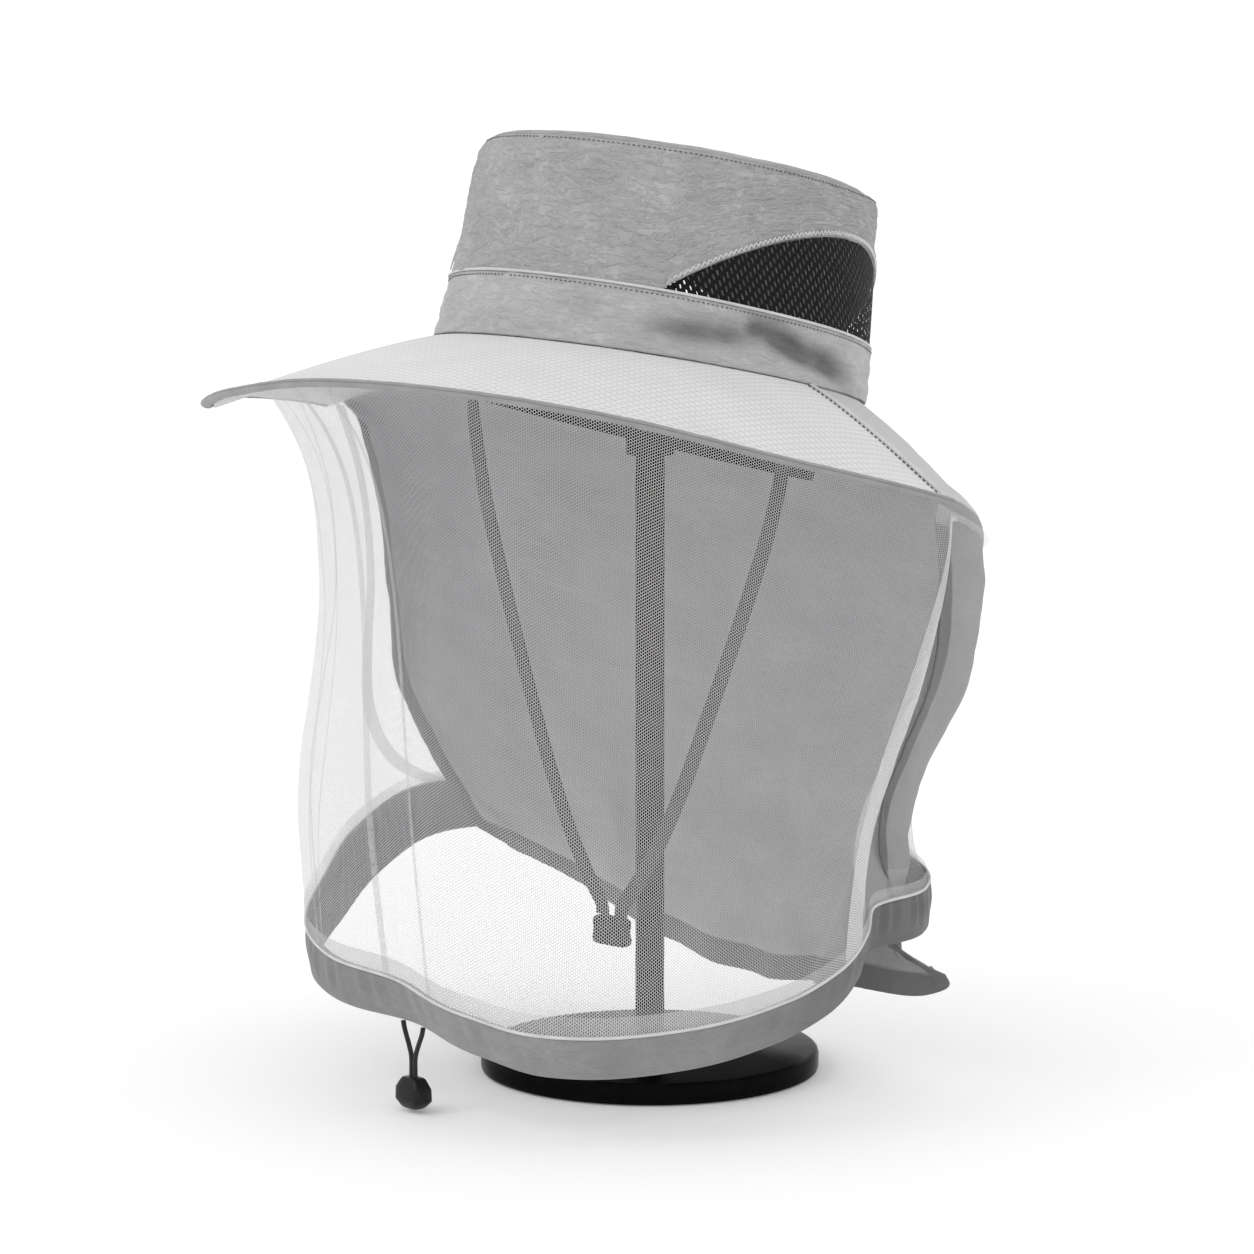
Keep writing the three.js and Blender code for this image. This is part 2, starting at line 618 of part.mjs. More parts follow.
// A closed geometry as a solid that can be joined or cut, and back
function solid(geometry) {
  const bare = geometry.clone();
  bare.deleteAttribute('normal');
  bare.deleteAttribute('uv');
  const merged = mergeVertices(bare, 1e-4);
  return new wasm.Manifold(new wasm.Mesh({
    numProp: 3,
    vertProperties: new Float32Array(merged.attributes.position.array),
    triVerts: new Uint32Array(merged.index.array),
  }));
}
function geometryOf(body) {
  const cut = body.getMesh();
  const geometry = new THREE.BufferGeometry();
  geometry.setAttribute('position', new THREE.BufferAttribute(cut.vertProperties, 3));
  geometry.setIndex(new THREE.BufferAttribute(cut.triVerts, 1));
  return geometry;
}

// A ring or sleeve between two radii, standing on z = 0
function sleeve(outer, inner, tall, sides) {
  const corners = [[inner, 0], [outer, 0], [outer, tall], [inner, tall], [inner, 0]];
  const profile = corners.map(([r, z]) => new THREE.Vector2(r, z));
  return new THREE.LatheGeometry(profile, sides).rotateX(Math.PI / 2);
}

function standFoot() {
  const radius = FOOT_WIDE / 2;
  const flat = radius - FOOT_BEVEL;
  const profile = [[0, 0], [flat, 0], [radius, FOOT_BEVEL], [radius, FOOT_TALL - FOOT_BEVEL],
    [flat, FOOT_TALL], [0, FOOT_TALL]].map(([r, z]) => new THREE.Vector2(r, z));
  return lacquer('stand_foot', new THREE.LatheGeometry(profile, 64).rotateX(Math.PI / 2));
}

// The height of the cap's underside at its middle, where the post ends, in the hat's own frame
const capUnder = CROWN_HEIGHT + TIP_DOME - SEAM_GAP - CAP_WALL - SEAM_GAP;

function standPost() {
  const geometry = new THREE.CylinderGeometry(POST_WIDE / 2, POST_WIDE / 2, 1, 24).rotateX(Math.PI / 2);
  const place = geometry.attributes.position;
  const up = point(0, 0, 1).transformDirection(hatPose);
  const level = point(0, 0, capUnder).applyMatrix4(hatPose);
  for (let i = 0; i < place.count; i += 1) {
    const corner = point(0, 0, 0).fromBufferAttribute(place, i);
    const lean = (up.x * (corner.x - level.x) + up.y * (corner.y - level.y)) / up.z;
    place.setZ(i, corner.z > 0 ? level.z - lean : FOOT_TALL + SEAM_GAP);
  }
  return lacquer('stand_post', geometry);
}

function standCap() {
  const share = CAP_WIDE / TIP_WIDTH;
  const upper = CROWN_WALL + SEAM_GAP;
  const angles = spaced(0, 360, 24).slice(0, 24);
  return lacquer('stand_cap', domePlate(angles, share, upper, upper + CAP_WALL, 2));
}

// The ring inside the hat's mouth, a little lower at the wearer's left, on a bar with a
// collar round the post
function standRing() {
  const outer = RING_WIDE / 2;
  const inner = outer - RING_WALL;
  const ring = sleeve(outer, inner, RING_TALL, 48);
  const bar = new THREE.BoxGeometry(2 * (outer - RING_WALL / 2), BAR_WIDE, RING_TALL);
  bar.translate(0, 0, RING_TALL / 2);
  const pose = hatPose.clone().multiply(new THREE.Matrix4().makeTranslation(0, 0, -RING_DEPTH));
  pose.multiply(new THREE.Matrix4().makeRotationY(radians(RING_ROLL)));
  const centre = point(0, 0, 0).applyMatrix4(pose);
  const posed = solid(ring.applyMatrix4(pose)).add(solid(bar.applyMatrix4(pose)));
  const collar = new THREE.CylinderGeometry(COLLAR_WIDE / 2, COLLAR_WIDE / 2, COLLAR_TALL, 24)
    .rotateX(Math.PI / 2).translate(0, 0, centre.z);
  const hole = new THREE.CylinderGeometry(POST_WIDE / 2 + SEAM_GAP, POST_WIDE / 2 + SEAM_GAP,
    3 * COLLAR_TALL, 24).rotateX(Math.PI / 2).translate(0, 0, centre.z);
  return lacquer('stand_ring', geometryOf(posed.add(solid(collar)).subtract(solid(hole))));
}

const hat = new THREE.Group();
hat.applyMatrix4(hatPose);
hat.add(crownTip(), crownSide(), vent('vent_left', 1), vent('vent_right', -1), crownBand());
hat.add(brim(), brimBinding(), standCap());

const part = new THREE.Group();
part.add(hat, insectNet(), netCasing(), neckFlap(), ...drawstring());
part.add(chinStrap('left'), chinStrap('right'), chinSlider());
part.add(standFoot(), standPost(), standRing());

export default part;
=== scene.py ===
"""A bucket hat with mesh vents, a stiff front brim, a neck flap and an insect net, on a stand.

Metres and degrees. Angles round the hat count from its front, positive towards the wearer's
left, which is +X. The hat's own frame stands on the crown's lower edge, and turned_to_row
turns its points into the row frame.
"""

import math

import bpy
import numpy as np
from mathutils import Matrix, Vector, noise


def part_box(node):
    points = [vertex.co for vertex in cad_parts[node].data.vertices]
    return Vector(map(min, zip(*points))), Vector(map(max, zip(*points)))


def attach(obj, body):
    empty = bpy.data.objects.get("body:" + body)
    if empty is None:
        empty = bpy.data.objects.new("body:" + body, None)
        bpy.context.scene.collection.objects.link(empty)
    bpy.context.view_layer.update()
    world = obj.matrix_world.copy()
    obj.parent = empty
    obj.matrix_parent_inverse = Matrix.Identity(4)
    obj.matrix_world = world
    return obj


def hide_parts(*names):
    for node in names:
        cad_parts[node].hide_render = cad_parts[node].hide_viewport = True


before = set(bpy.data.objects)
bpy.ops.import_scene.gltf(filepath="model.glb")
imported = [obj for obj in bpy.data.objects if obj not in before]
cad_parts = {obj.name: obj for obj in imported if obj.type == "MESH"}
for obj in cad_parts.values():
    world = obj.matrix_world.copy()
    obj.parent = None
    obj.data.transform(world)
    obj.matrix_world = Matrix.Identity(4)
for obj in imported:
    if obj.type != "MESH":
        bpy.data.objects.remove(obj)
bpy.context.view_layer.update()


def table(columns, *rows):
    """Rows under named columns."""
    return [dict(zip(columns.split(), row)) for row in rows]


# The crown, brim and flap
CROWN_LENGTH = 0.188
CROWN_WIDTH = 0.172
TIP_LENGTH = 0.172
TIP_WIDTH = 0.158
CROWN_HEIGHT = 0.083
TIP_DOME = 0.003
CROWN_WALL = 0.0015
CROWN_DENT = 0.0016
BAND_TALL = 0.024
BAND_RISE = 0.002
VENT_TALL = 0.038
VENT_FROM = 44
VENT_TO = 168
BRIM_FRONT = 0.188
BRIM_SIDE = 0.163
BRIM_DROP = 0.042
BRIM_WALL = 0.002
SEAM_LEFT = 90
SEAM_RIGHT = 84
BINDING_WIDE = 0.0046
BINDING_WALL = 0.0034
BINDING_OUT = 0.0024
FLAP_BACK = 0.132
FLAP_SIDE = 0.148
FLAP_DROP = 0.267
FLAP_FOLD = 0.004
FLAP_CLEAR = 0.0038
FLAP_FLARE = 2.4
NEAR_SWEEP = 1.1
FAR_SWEEP = 2.4
SEAM_SLACK = 0.25

# The net, its casing, the cords and the stand
NET_DROP = 0.25
NET_FOLD = 0.0026
NET_INSET = 0.024
NET_BELLY = 0.015
MOUTH_REACH = 0.127
CASING_TALL = 0.018
CASING_TUCK = 0.011
CASING_WALL = 0.0024
CASING_CLEAR = 0.0036
STRING_WIDE = 0.002
LOCK_WIDE = 0.0165
LOCK_DEEP = 0.009
LOCK_TALL = 0.0125
STRAP_WIDE = 0.007
SLIDER_WIDE = 0.019
SLIDER_DEEP = 0.006
SLIDER_TALL = 0.012
FOOT_WIDE = 0.141
FOOT_TALL = 0.009
POST_WIDE = 0.012
TILT_BACK = 13.4
ROLL_LEFT = -0.5
CASING_LIFT = 0.024
SEAM_GAP = 0.0003
HANG_GAP = 0.0009
CASING_GAP = 0.0008
HAT_HEIGHT = NET_DROP + CASING_TALL + CASING_LIFT

# How far the brim and the flap's top droop, as shares of BRIM_DROP
DROOPS = table(
    "at droop",
    (-130, 0.95),
    (-88, 0.62),
    (-63, 0.73),
    (-42, 0.98),
    (-20, 0.92),
    (0, 0.79),
    (21, 0.74),
    (42, 0.77),
    (63, 0.88),
    (88, 0.95),
    (130, 1.15),
    (180, 1.2),
)

# The net's mouth: its reach and drop as shares of MOUTH_REACH and NET_DROP, how long the net
# holds its width, how fast it falls in, its belly's share, and the casing's tuck
MOUTHS = table(
    "at reach drop hold fall belly tuck",
    (-102, 1.21, 0.78, 1.1, 3, 0, 1),
    (-74, 1.105, 0.824, 1.1, 6.2, -0.4, 0.8),
    (-40, 1.113, 0.932, 1.1, 11, -0.4, 0.15),
    (-7, 1.055, 0.95, 1, 8, -0.1, 0.8),
    (11, 1.124, 0.976, 1, 5, 0, 1),
    (24, 1.16, 0.992, 1, 4, 0, 1),
    (45, 1.0, 1, 1, 2.6, 0, 1),
    (69, 0.98, 0.96, 1, 1.8, 0, 0.8),
    (78, 0.998, 0.92, 1.1, 1.6, 0.2, 0.6),
    (88, 0.945, 0.88, 1.3, 1.7, 0.3, 0.4),
    (100, 0.85, 0.852, 1.6, 2, 0.5, 0.2),
    (122, 0.908, 0.852, 1, 1.5, 0.65, 0),
    (150, 0.87, 0.83, 1, 1.5, 0.55, 0.1),
    (180, 0.79, 0.816, 1.2, 1.8, 0.3, 0.3),
    (225, 1.0, 0.79, 1.1, 2.4, 0, 0.6),
)

# How far the net swells or draws in beside the flap on its way down, in NET_BELLY
BELLIES = table(
    "down out",
    (0, 0),
    (0.15, 0.75),
    (0.28, 1),
    (0.43, 0.95),
    (0.585, 0.25),
    (0.75, -0.5),
    (0.9, -0.35),
    (1, 0),
)

# The flap's hem from its near corner, round the back, to its far corner, with its reach and
# drop as shares of FLAP_SIDE and FLAP_DROP
HEMS = table(
    "along azimuth reach drop",
    (0, 114, 0.92, 0.914),
    (0.06, 116, 0.8, 0.951),
    (0.12, 119, 0.69, 0.957),
    (0.24, 137, 0.525, 0.968),
    (0.45, 180, 0.54, 1),
    (0.57, 200, 0.595, 0.997),
    (0.7, 219, 0.715, 0.969),
    (0.78, 228, 0.766, 0.928),
    (0.85, 236, 0.81, 0.89),
    (0.93, 247, 0.9, 0.838),
    (1, 255.5, 0.93, 0.794),
)

# The chin strap's sides from the crown to the slider: how far down, across and forward, and
# the azimuths that the left and the right ribbon's flat sides face
STRAPS = table(
    "down across forward left right",
    (0, 1, 0, 5, -48),
    (0.1, 0.99, 0.02, 5, 0),
    (0.236, 0.91, 0.2, 5, 6),
    (0.36, 0.8, 0.4, 5, 6),
    (0.485, 0.677, 0.65, 5, 5),
    (0.61, 0.545, 0.85, 5, 5),
    (0.735, 0.405, 0.95, 5, 5),
    (0.85, 0.25, 1, 4, 5),
    (0.93, 0.11, 1, 3, 5),
    (0.975, 0.015, 1, 0, 0),
    (0.99, 0, 1, 0, 0),
    (1, 0, 1, 0, 0),
)
STRAP_TOPS = {"left": (0.0848, -0.0124, 0.2912), "right": (-0.0841, -0.0173, 0.2908)}
STRAP_SPREAD = 0.0052
STRAP_END = 0.06635
SLIDER_PLACE = (-0.005, -0.018, 0.06)
STRING_AZIMUTH = -8.6
STRING_SPREAD = 0.0066
LOCK_LIFT = 0.0015

# The drawstring's two strands: how far down, and how far apart in STRING_SPREAD
STRANDS = table(
    "down apart",
    (0, 1),
    (0.15, 0.86),
    (0.45, 0.4),
    (0.65, 0.19),
    (1, 0.18),
)

# Slow waves in the crown, the net and the flap: (speed, start, share)
DENT_WAVES = [(3, 0.8, 0.6), (7, 2.1, 0.4)]
NET_WAVES = [(14, 0.6, 0.7), (9, 2, 0.3)]
FLAP_WAVES = [(39.6, 0, 0.75), (11, 1, 0.25)]

# The camera and its lens
CAMERA_AZIMUTH = 42
CAMERA_DISTANCE = 2.25
CAMERA_HEIGHT = 0.53
CAMERA_PITCH = 8.7
CAMERA_ASIDE = -0.0095
SENSOR_WIDE = 36
LENS = 158.3


# Tables and surfaces


def between(rows, key, column, at):
    """A smooth value of one column between a table's rows."""
    keys = np.array([row[key] for row in rows], float)
    values = np.array([row[column] for row in rows], float)
    slopes = np.empty_like(values)
    slopes[1:-1] = (values[2:] - values[:-2]) / (keys[2:] - keys[:-2])
    slopes[0] = (values[1] - values[0]) / (keys[1] - keys[0])
    slopes[-1] = (values[-1] - values[-2]) / (keys[-1] - keys[-2])
    at = np.asarray(at, float)
    i = np.clip(np.searchsorted(keys, at, side="right") - 1, 0, len(keys) - 2)
    step = keys[i + 1] - keys[i]
    s = np.clip((at - keys[i]) / step, 0, 1)
    start = values[i] * (2 * s**3 - 3 * s**2 + 1) + slopes[i] * step * (s**3 - 2 * s**2 + s)
    return start + values[i + 1] * (3 * s**2 - 2 * s**3) + slopes[i + 1] * step * (s**3 - s**2)


def laps(rows):
    """A table whose key goes round a full turn, with a lap before and a lap after it."""
    return [{**row, "at": row["at"] + turn} for turn in (-360, 0, 360) for row in rows]


def point(x, y, z):
    """Coordinates as one array whose last axis is x, y, z."""
    return np.stack(np.broadcast_arrays(x, y, z), -1).astype(float)


def waved(waves, at):
    """The sum of some waves at a place along them."""
    return sum(share * np.sin(speed * at + start) for speed, start, share in waves)


def turned_to_row(points):
    """Points of the hat's own frame in the row frame."""
    a, b = math.radians(-TILT_BACK), math.radians(ROLL_LEFT)
    tilt = np.array([[1, 0, 0], [0, math.cos(a), -math.sin(a)], [0, math.sin(a), math.cos(a)]])
    roll = np.array([[math.cos(b), 0, math.sin(b)], [0, 1, 0], [-math.sin(b), 0, math.cos(b)]])
    return points @ (roll @ tilt).T + np.array([0, 0, HAT_HEIGHT])


def aimed_in_row(directions):
    """Directions of the hat's own frame in the row frame."""
    return turned_to_row(directions) - turned_to_row(np.zeros((1, 3)))


def crown_point(angle, height, inset=0.0):
    """The crown's side at an angle and a height, in the hat's own frame."""
    share = np.asarray(height) / CROWN_HEIGHT
    turn = np.radians(angle)
    soft = np.sin(np.pi * np.clip(share, 0, 1))
    dent_and_painted_shade = CROWN_DENT * soft * waved(DENT_WAVES, turn)
    wide = (CROWN_WIDTH + (TIP_WIDTH - CROWN_WIDTH) * share) / 2 + dent_and_painted_shade - inset
    long = (CROWN_LENGTH + (TIP_LENGTH - CROWN_LENGTH) * share) / 2 + dent_and_painted_shade - inset
    return point(wide * np.sin(turn), -long * np.cos(turn), height)


def seam_at(angle):
    return BAND_TALL + BAND_RISE * np.cos(np.radians(angle))


def arch_at(angle):
    """How high a vent's arch stands over the band's seam."""
    around = np.abs((np.asarray(angle, float) + 180) % 360 - 180)
    share = np.clip((around - VENT_FROM) / (VENT_TO - VENT_FROM), 0, 1)
    return VENT_TALL * np.sin(np.pi * share) ** 0.85


DROOP_LAPS = laps(DROOPS)
MOUTH_LAPS = laps(MOUTHS)


def slope_point(angle, share, beyond=0.0):
    """The brim and the flap's slope, at a share of the way out to their edge."""
    turn = np.radians(angle)
    front = np.cos(turn) > 0
    seam = np.abs(np.cos(turn)) ** 0.5
    side = BRIM_SIDE + (np.where(front, BRIM_SIDE, FLAP_SIDE) - BRIM_SIDE) * seam
    long = BRIM_SIDE + (np.where(front, BRIM_FRONT, FLAP_BACK) - BRIM_SIDE) * seam
    inner = crown_point(angle, np.zeros_like(turn), CROWN_WALL)
    outer = point((side + beyond) * np.sin(turn), -(long + beyond) * np.cos(turn), 0 * turn)
    share = np.asarray(share, float)
    place = inner + (outer - inner) * share[..., None]
    droop = between(DROOP_LAPS, "at", "droop", angle)
    place[..., 2] = -SEAM_GAP - BRIM_DROP * droop * share**1.15
    return place


def azimuth_of(p):
    return np.degrees(np.arctan2(p[..., 0], -p[..., 1]))


def reach_of(p):
    return np.hypot(p[..., 0], p[..., 1])


def from_axis(azimuth, reach, height):
    turn = np.radians(azimuth)
    return point(reach * np.sin(turn), -reach * np.cos(turn), height)


def hang_point(angle):
    """The line that the net and the flap hang from, in the row frame."""
    edge = slope_point(angle, np.ones_like(angle))
    foot = crown_point(angle, np.zeros_like(angle))
    span = np.linalg.norm((edge - foot)[..., :2], axis=-1)
    inset = NET_INSET * np.sqrt(np.maximum(np.cos(np.radians(angle)), 0))
    place = slope_point(angle, 1 - inset / span)
    place[..., 2] -= BRIM_WALL + HANG_GAP
    return turned_to_row(place)


def hang_rows():
    place = hang_point(np.linspace(-180, 176, 90))
    rows = [
        {"at": float(at), "reach": float(reach), "height": float(height)}
        for at, reach, height in zip(azimuth_of(place), reach_of(place), place[:, 2])
    ]
    return laps(sorted(rows, key=lambda row: row["at"]))


HANG_LAPS = hang_rows()


def mouth_height(azimuth):
    return HAT_HEIGHT - NET_DROP * between(MOUTH_LAPS, "at", "drop", azimuth)


def net_reach(azimuth, share):
    """How far out the net hangs at an azimuth and a share of the way down."""
    top = between(HANG_LAPS, "at", "reach", azimuth)
    hold = between(MOUTH_LAPS, "at", "hold", azimuth)
    fall = between(MOUTH_LAPS, "at", "fall", azimuth)
    swing = (1 - share**hold) ** fall
    fold = waved(NET_WAVES, np.radians(azimuth))
    mouth = MOUTH_REACH * between(MOUTH_LAPS, "at", "reach", azimuth)
    swell = between(MOUTH_LAPS, "at", "belly", azimuth) * between(BELLIES, "down", "out", share)
    folded = NET_FOLD * fold * share * (1 - 0.6 * share)
    return mouth + (top - mouth) * swing + NET_BELLY * swell + folded


def net_point(azimuth, share, out=0.0):
    top = between(HANG_LAPS, "at", "height", azimuth)
    low = mouth_height(azimuth) + CASING_GAP
    return from_axis(azimuth, net_reach(azimuth, share) + out, top + (low - top) * share)


def flap_limit(azimuth, height):
    """The furthest that the flap may reach, inside the net and its casing."""
    mouth = mouth_height(azimuth)
    top = between(HANG_LAPS, "at", "height", azimuth)
    share = np.clip((top - height) / (top - mouth), 0, 1)
    below = np.maximum(mouth - CASING_TALL - height - FLAP_CLEAR, 0)
    foot = np.clip((mouth - height) / CASING_TALL, 0, 1)
    tuck = CASING_TUCK * between(MOUTH_LAPS, "at", "tuck", azimuth) * foot
    casing = np.where(share >= 1, CASING_CLEAR + tuck, 0)
    return net_reach(azimuth, share) - FLAP_CLEAR - casing + FLAP_FLARE * below


# Meshes


def refined(grid, times, axis):
    """A grid with more points along one axis, on smooth curves through the first ones."""
    grid = np.moveaxis(grid, axis, 0)
    count = (len(grid) - 1) * times + 1
    at = np.minimum(np.arange(count) / times, len(grid) - 1 - 1e-9)
    i = at.astype(int)
    s = (at - i)[:, None, None]
    before = grid[np.maximum(i - 1, 0)]
    a, b = grid[i], grid[i + 1]
    after = grid[np.minimum(i + 2, len(grid) - 1)]
    made = a + 0.5 * s * (
        b - before + s * (2 * before - 5 * a + 4 * b - after + s * (3 * (a - b) + after - before))
    )
    return np.moveaxis(made, 0, axis)


def normals_of(grid):
    """Unit normals of a grid of points, pointing to the side of across x down."""
    normal = np.cross(np.gradient(grid, axis=0), np.gradient(grid, axis=1))
    return normal / np.maximum(np.linalg.norm(normal, axis=-1, keepdims=True), 1e-12)


def lengths(grid, axis):
    """How far along an axis each point lies on its own line."""
    steps = np.linalg.norm(np.diff(grid, axis=axis), axis=-1)
    start = np.zeros_like(steps.take([0], axis))
    return np.concatenate([start, np.cumsum(steps, axis)], axis)


def arc(grid, axis):
    """How far along an axis each grid point lies, averaged over the other axis."""
    return lengths(grid, axis).mean(1 - axis)


def rough(u, v, wide, tall, seed, octaves=3):
    """Smooth noise from -1 to 1 over two lengths, with features wide by tall."""
    u, v = np.broadcast_arrays(u, v)
    flat = zip((u / wide).ravel(), (v / tall).ravel())
    values = [noise.fractal((a, b, seed), 0.8, 2.1, octaves) for a, b in flat]
    return np.array(values).reshape(u.shape)


def piece(name, points, faces, finish, nodes=(), uv=None):
    """A mesh that rides on the only body and stands for the named nodes."""
    mesh = bpy.data.meshes.new(name)
    mesh.from_pydata(points.tolist(), [], faces)
    if uv is not None:
        layer = mesh.uv_layers.new(name="UVMap")
        layer.data.foreach_set("uv", uv.astype(np.float32).ravel())
    mesh.materials.append(finish)
    mesh.polygons.foreach_set("use_smooth", [True] * len(mesh.polygons))
    made = bpy.data.objects.new(name, mesh)
    bpy.context.scene.collection.objects.link(made)
    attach(made, "root")
    if nodes:
        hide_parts(*nodes)
    return made


def sheet_of(
    name, grid, finish, nodes=(), closed=False, tube=False, up=False, thick=0.0, size=None,
    flat_uv=None,
):
    """A piece from a grid of points, its columns across and its rows down.

    closed joins the last column to the first, tube the last row to the first, and up says
    that it faces up and not out. size gives the grid's own lengths for the finish, or
    flat_uv every point's place in the cloth.
    """
    columns, rows = grid.shape[:2]
    i, j = np.meshgrid(
        np.arange(columns if closed else columns - 1),
        np.arange(rows if tube else rows - 1),
        indexing="ij",
    )
    corner_i = np.stack([i, i + 1, i + 1, i], -1).reshape(-1, 4)
    corner_j = np.stack([j, j, j + 1, j + 1], -1).reshape(-1, 4)
    faces = (corner_i % columns) * rows + corner_j % rows
    across, down = size or (arc(grid, 0), arc(grid, 1))
    across = np.append(across, across[-1] + across[1] - across[0])
    down = np.append(down, down[-1] + down[1] - down[0])
    uv = np.stack([across[corner_i], down[corner_j]], -1)
    if flat_uv is not None:
        uv = flat_uv[corner_i % columns, corner_j % rows]
    flat = grid.reshape(-1, 3)
    corners = flat[faces]
    normal = np.cross(corners[:, 1] - corners[:, 0], corners[:, 3] - corners[:, 0])
    centre = corners.mean(1)
    facing = normal[:, 2] if up else (normal[:, :2] * centre[:, :2]).sum(-1)
    if facing.sum() < 0:
        faces, uv = faces[:, ::-1], uv[:, ::-1]
    made = piece(name, flat, faces.tolist(), finish, nodes, uv)
    if thick:
        shell = made.modifiers.new("thickness", "SOLIDIFY")
        shell.thickness = thick
        shell.offset = -1
    return made


def mark(made, name, values):
    """A number from 0 to 1 at each of a piece's points, for its finish."""
    layer = made.data.attributes.new(name, "FLOAT", "POINT")
    layer.data.foreach_set("value", values.astype(np.float32).ravel())


def threads(name, starts, ends, outward, wide, finish):
    """Short rounded stitches from starts to ends, half sunk into the cloth under them."""
    along = ends - starts
    along /= np.linalg.norm(along, axis=-1, keepdims=True)
    side = np.cross(along, outward)
    side /= np.linalg.norm(side, axis=-1, keepdims=True)
    lift = np.cross(side, along)
    rings = [starts]
    for share in (0.2, 0.8):
        middle = starts + (ends - starts) * share
        rings += [middle + side * wide / 2, middle + lift * wide / 2]
        rings += [middle - side * wide / 2, middle - lift * wide / 2]
    rings.append(ends)
    points = np.stack(rings, 1)
    one = [(0, 2, 1), (0, 3, 2), (0, 4, 3), (0, 1, 4)]
    one += [(9, 5, 6), (9, 6, 7), (9, 7, 8), (9, 8, 5)]
    for k in range(4):
        a, b = 1 + k, 1 + (k + 1) % 4
        one += [(a, b, b + 4), (a, b + 4, a + 4)]
    faces = (np.arange(len(starts))[:, None, None] * 10 + np.array(one)).reshape(-1, 3)
    return piece(name, points.reshape(-1, 3), faces.tolist(), finish)


def dashes(line, outward, pitch, share):
    """Starts, ends and outward directions of dashes along a line of points."""
    length = lengths(line, 0)
    begins = np.arange(pitch / 2, length[-1] - pitch, pitch)

    def at(places, values):
        return np.stack([np.interp(places, length, values[:, k]) for k in range(3)], -1)

    return at(begins, line), at(begins + pitch * share, line), at(begins, outward)


def tube_along(line, across, section):
    """A grid of a closed section swept along a line, with the section's own side direction."""
    along = np.gradient(line, axis=0)
    along /= np.linalg.norm(along, axis=-1, keepdims=True)
    side = across - (across * along).sum(-1, keepdims=True) * along
    side /= np.linalg.norm(side, axis=-1, keepdims=True)
    lift = np.cross(along, side)
    return line[:, None] + side[:, None] * section[:, 0, None] + lift[:, None] * section[:, 1, None]


def capped(name, grid, finish, nodes=()):
    """A closed tube from a grid of rings, with both ends filled."""
    count, sides = grid.shape[:2]
    i, j = np.meshgrid(np.arange(count - 1), np.arange(sides), indexing="ij")
    k = (j + 1) % sides
    body = np.stack([i * sides + j, i * sides + k, (i + 1) * sides + k, (i + 1) * sides + j], -1)
    points = np.concatenate([grid.reshape(-1, 3), grid[:1].mean(1), grid[-1:].mean(1)])
    last = (count - 1) * sides
    near = [[len(points) - 2, (a + 1) % sides, a] for a in range(sides)]
    far = [[len(points) - 1, last + a, last + (a + 1) % sides] for a in range(sides)]
    faces = body.reshape(-1, 4).tolist() + near + far
    order = np.arange(len(points))
    down = arc(grid, 0)[np.minimum(order // sides, count - 1)]
    uv = np.stack([arc(grid, 1)[order % sides], down], -1)
    return piece(name, points, faces, finish, nodes, uv[np.concatenate(faces)])


def turned(name, profile, finish, nodes=(), sides=128):
    """A body of revolution about the stand's axis from (reach, height) pairs."""
    angles = np.linspace(0, 360, sides, endpoint=False)
    reach, height = np.array(profile, float).T
    grid = from_axis(angles[:, None], reach[None], height[None])
    return sheet_of(name, grid, finish, nodes, closed=True)


# Finishes


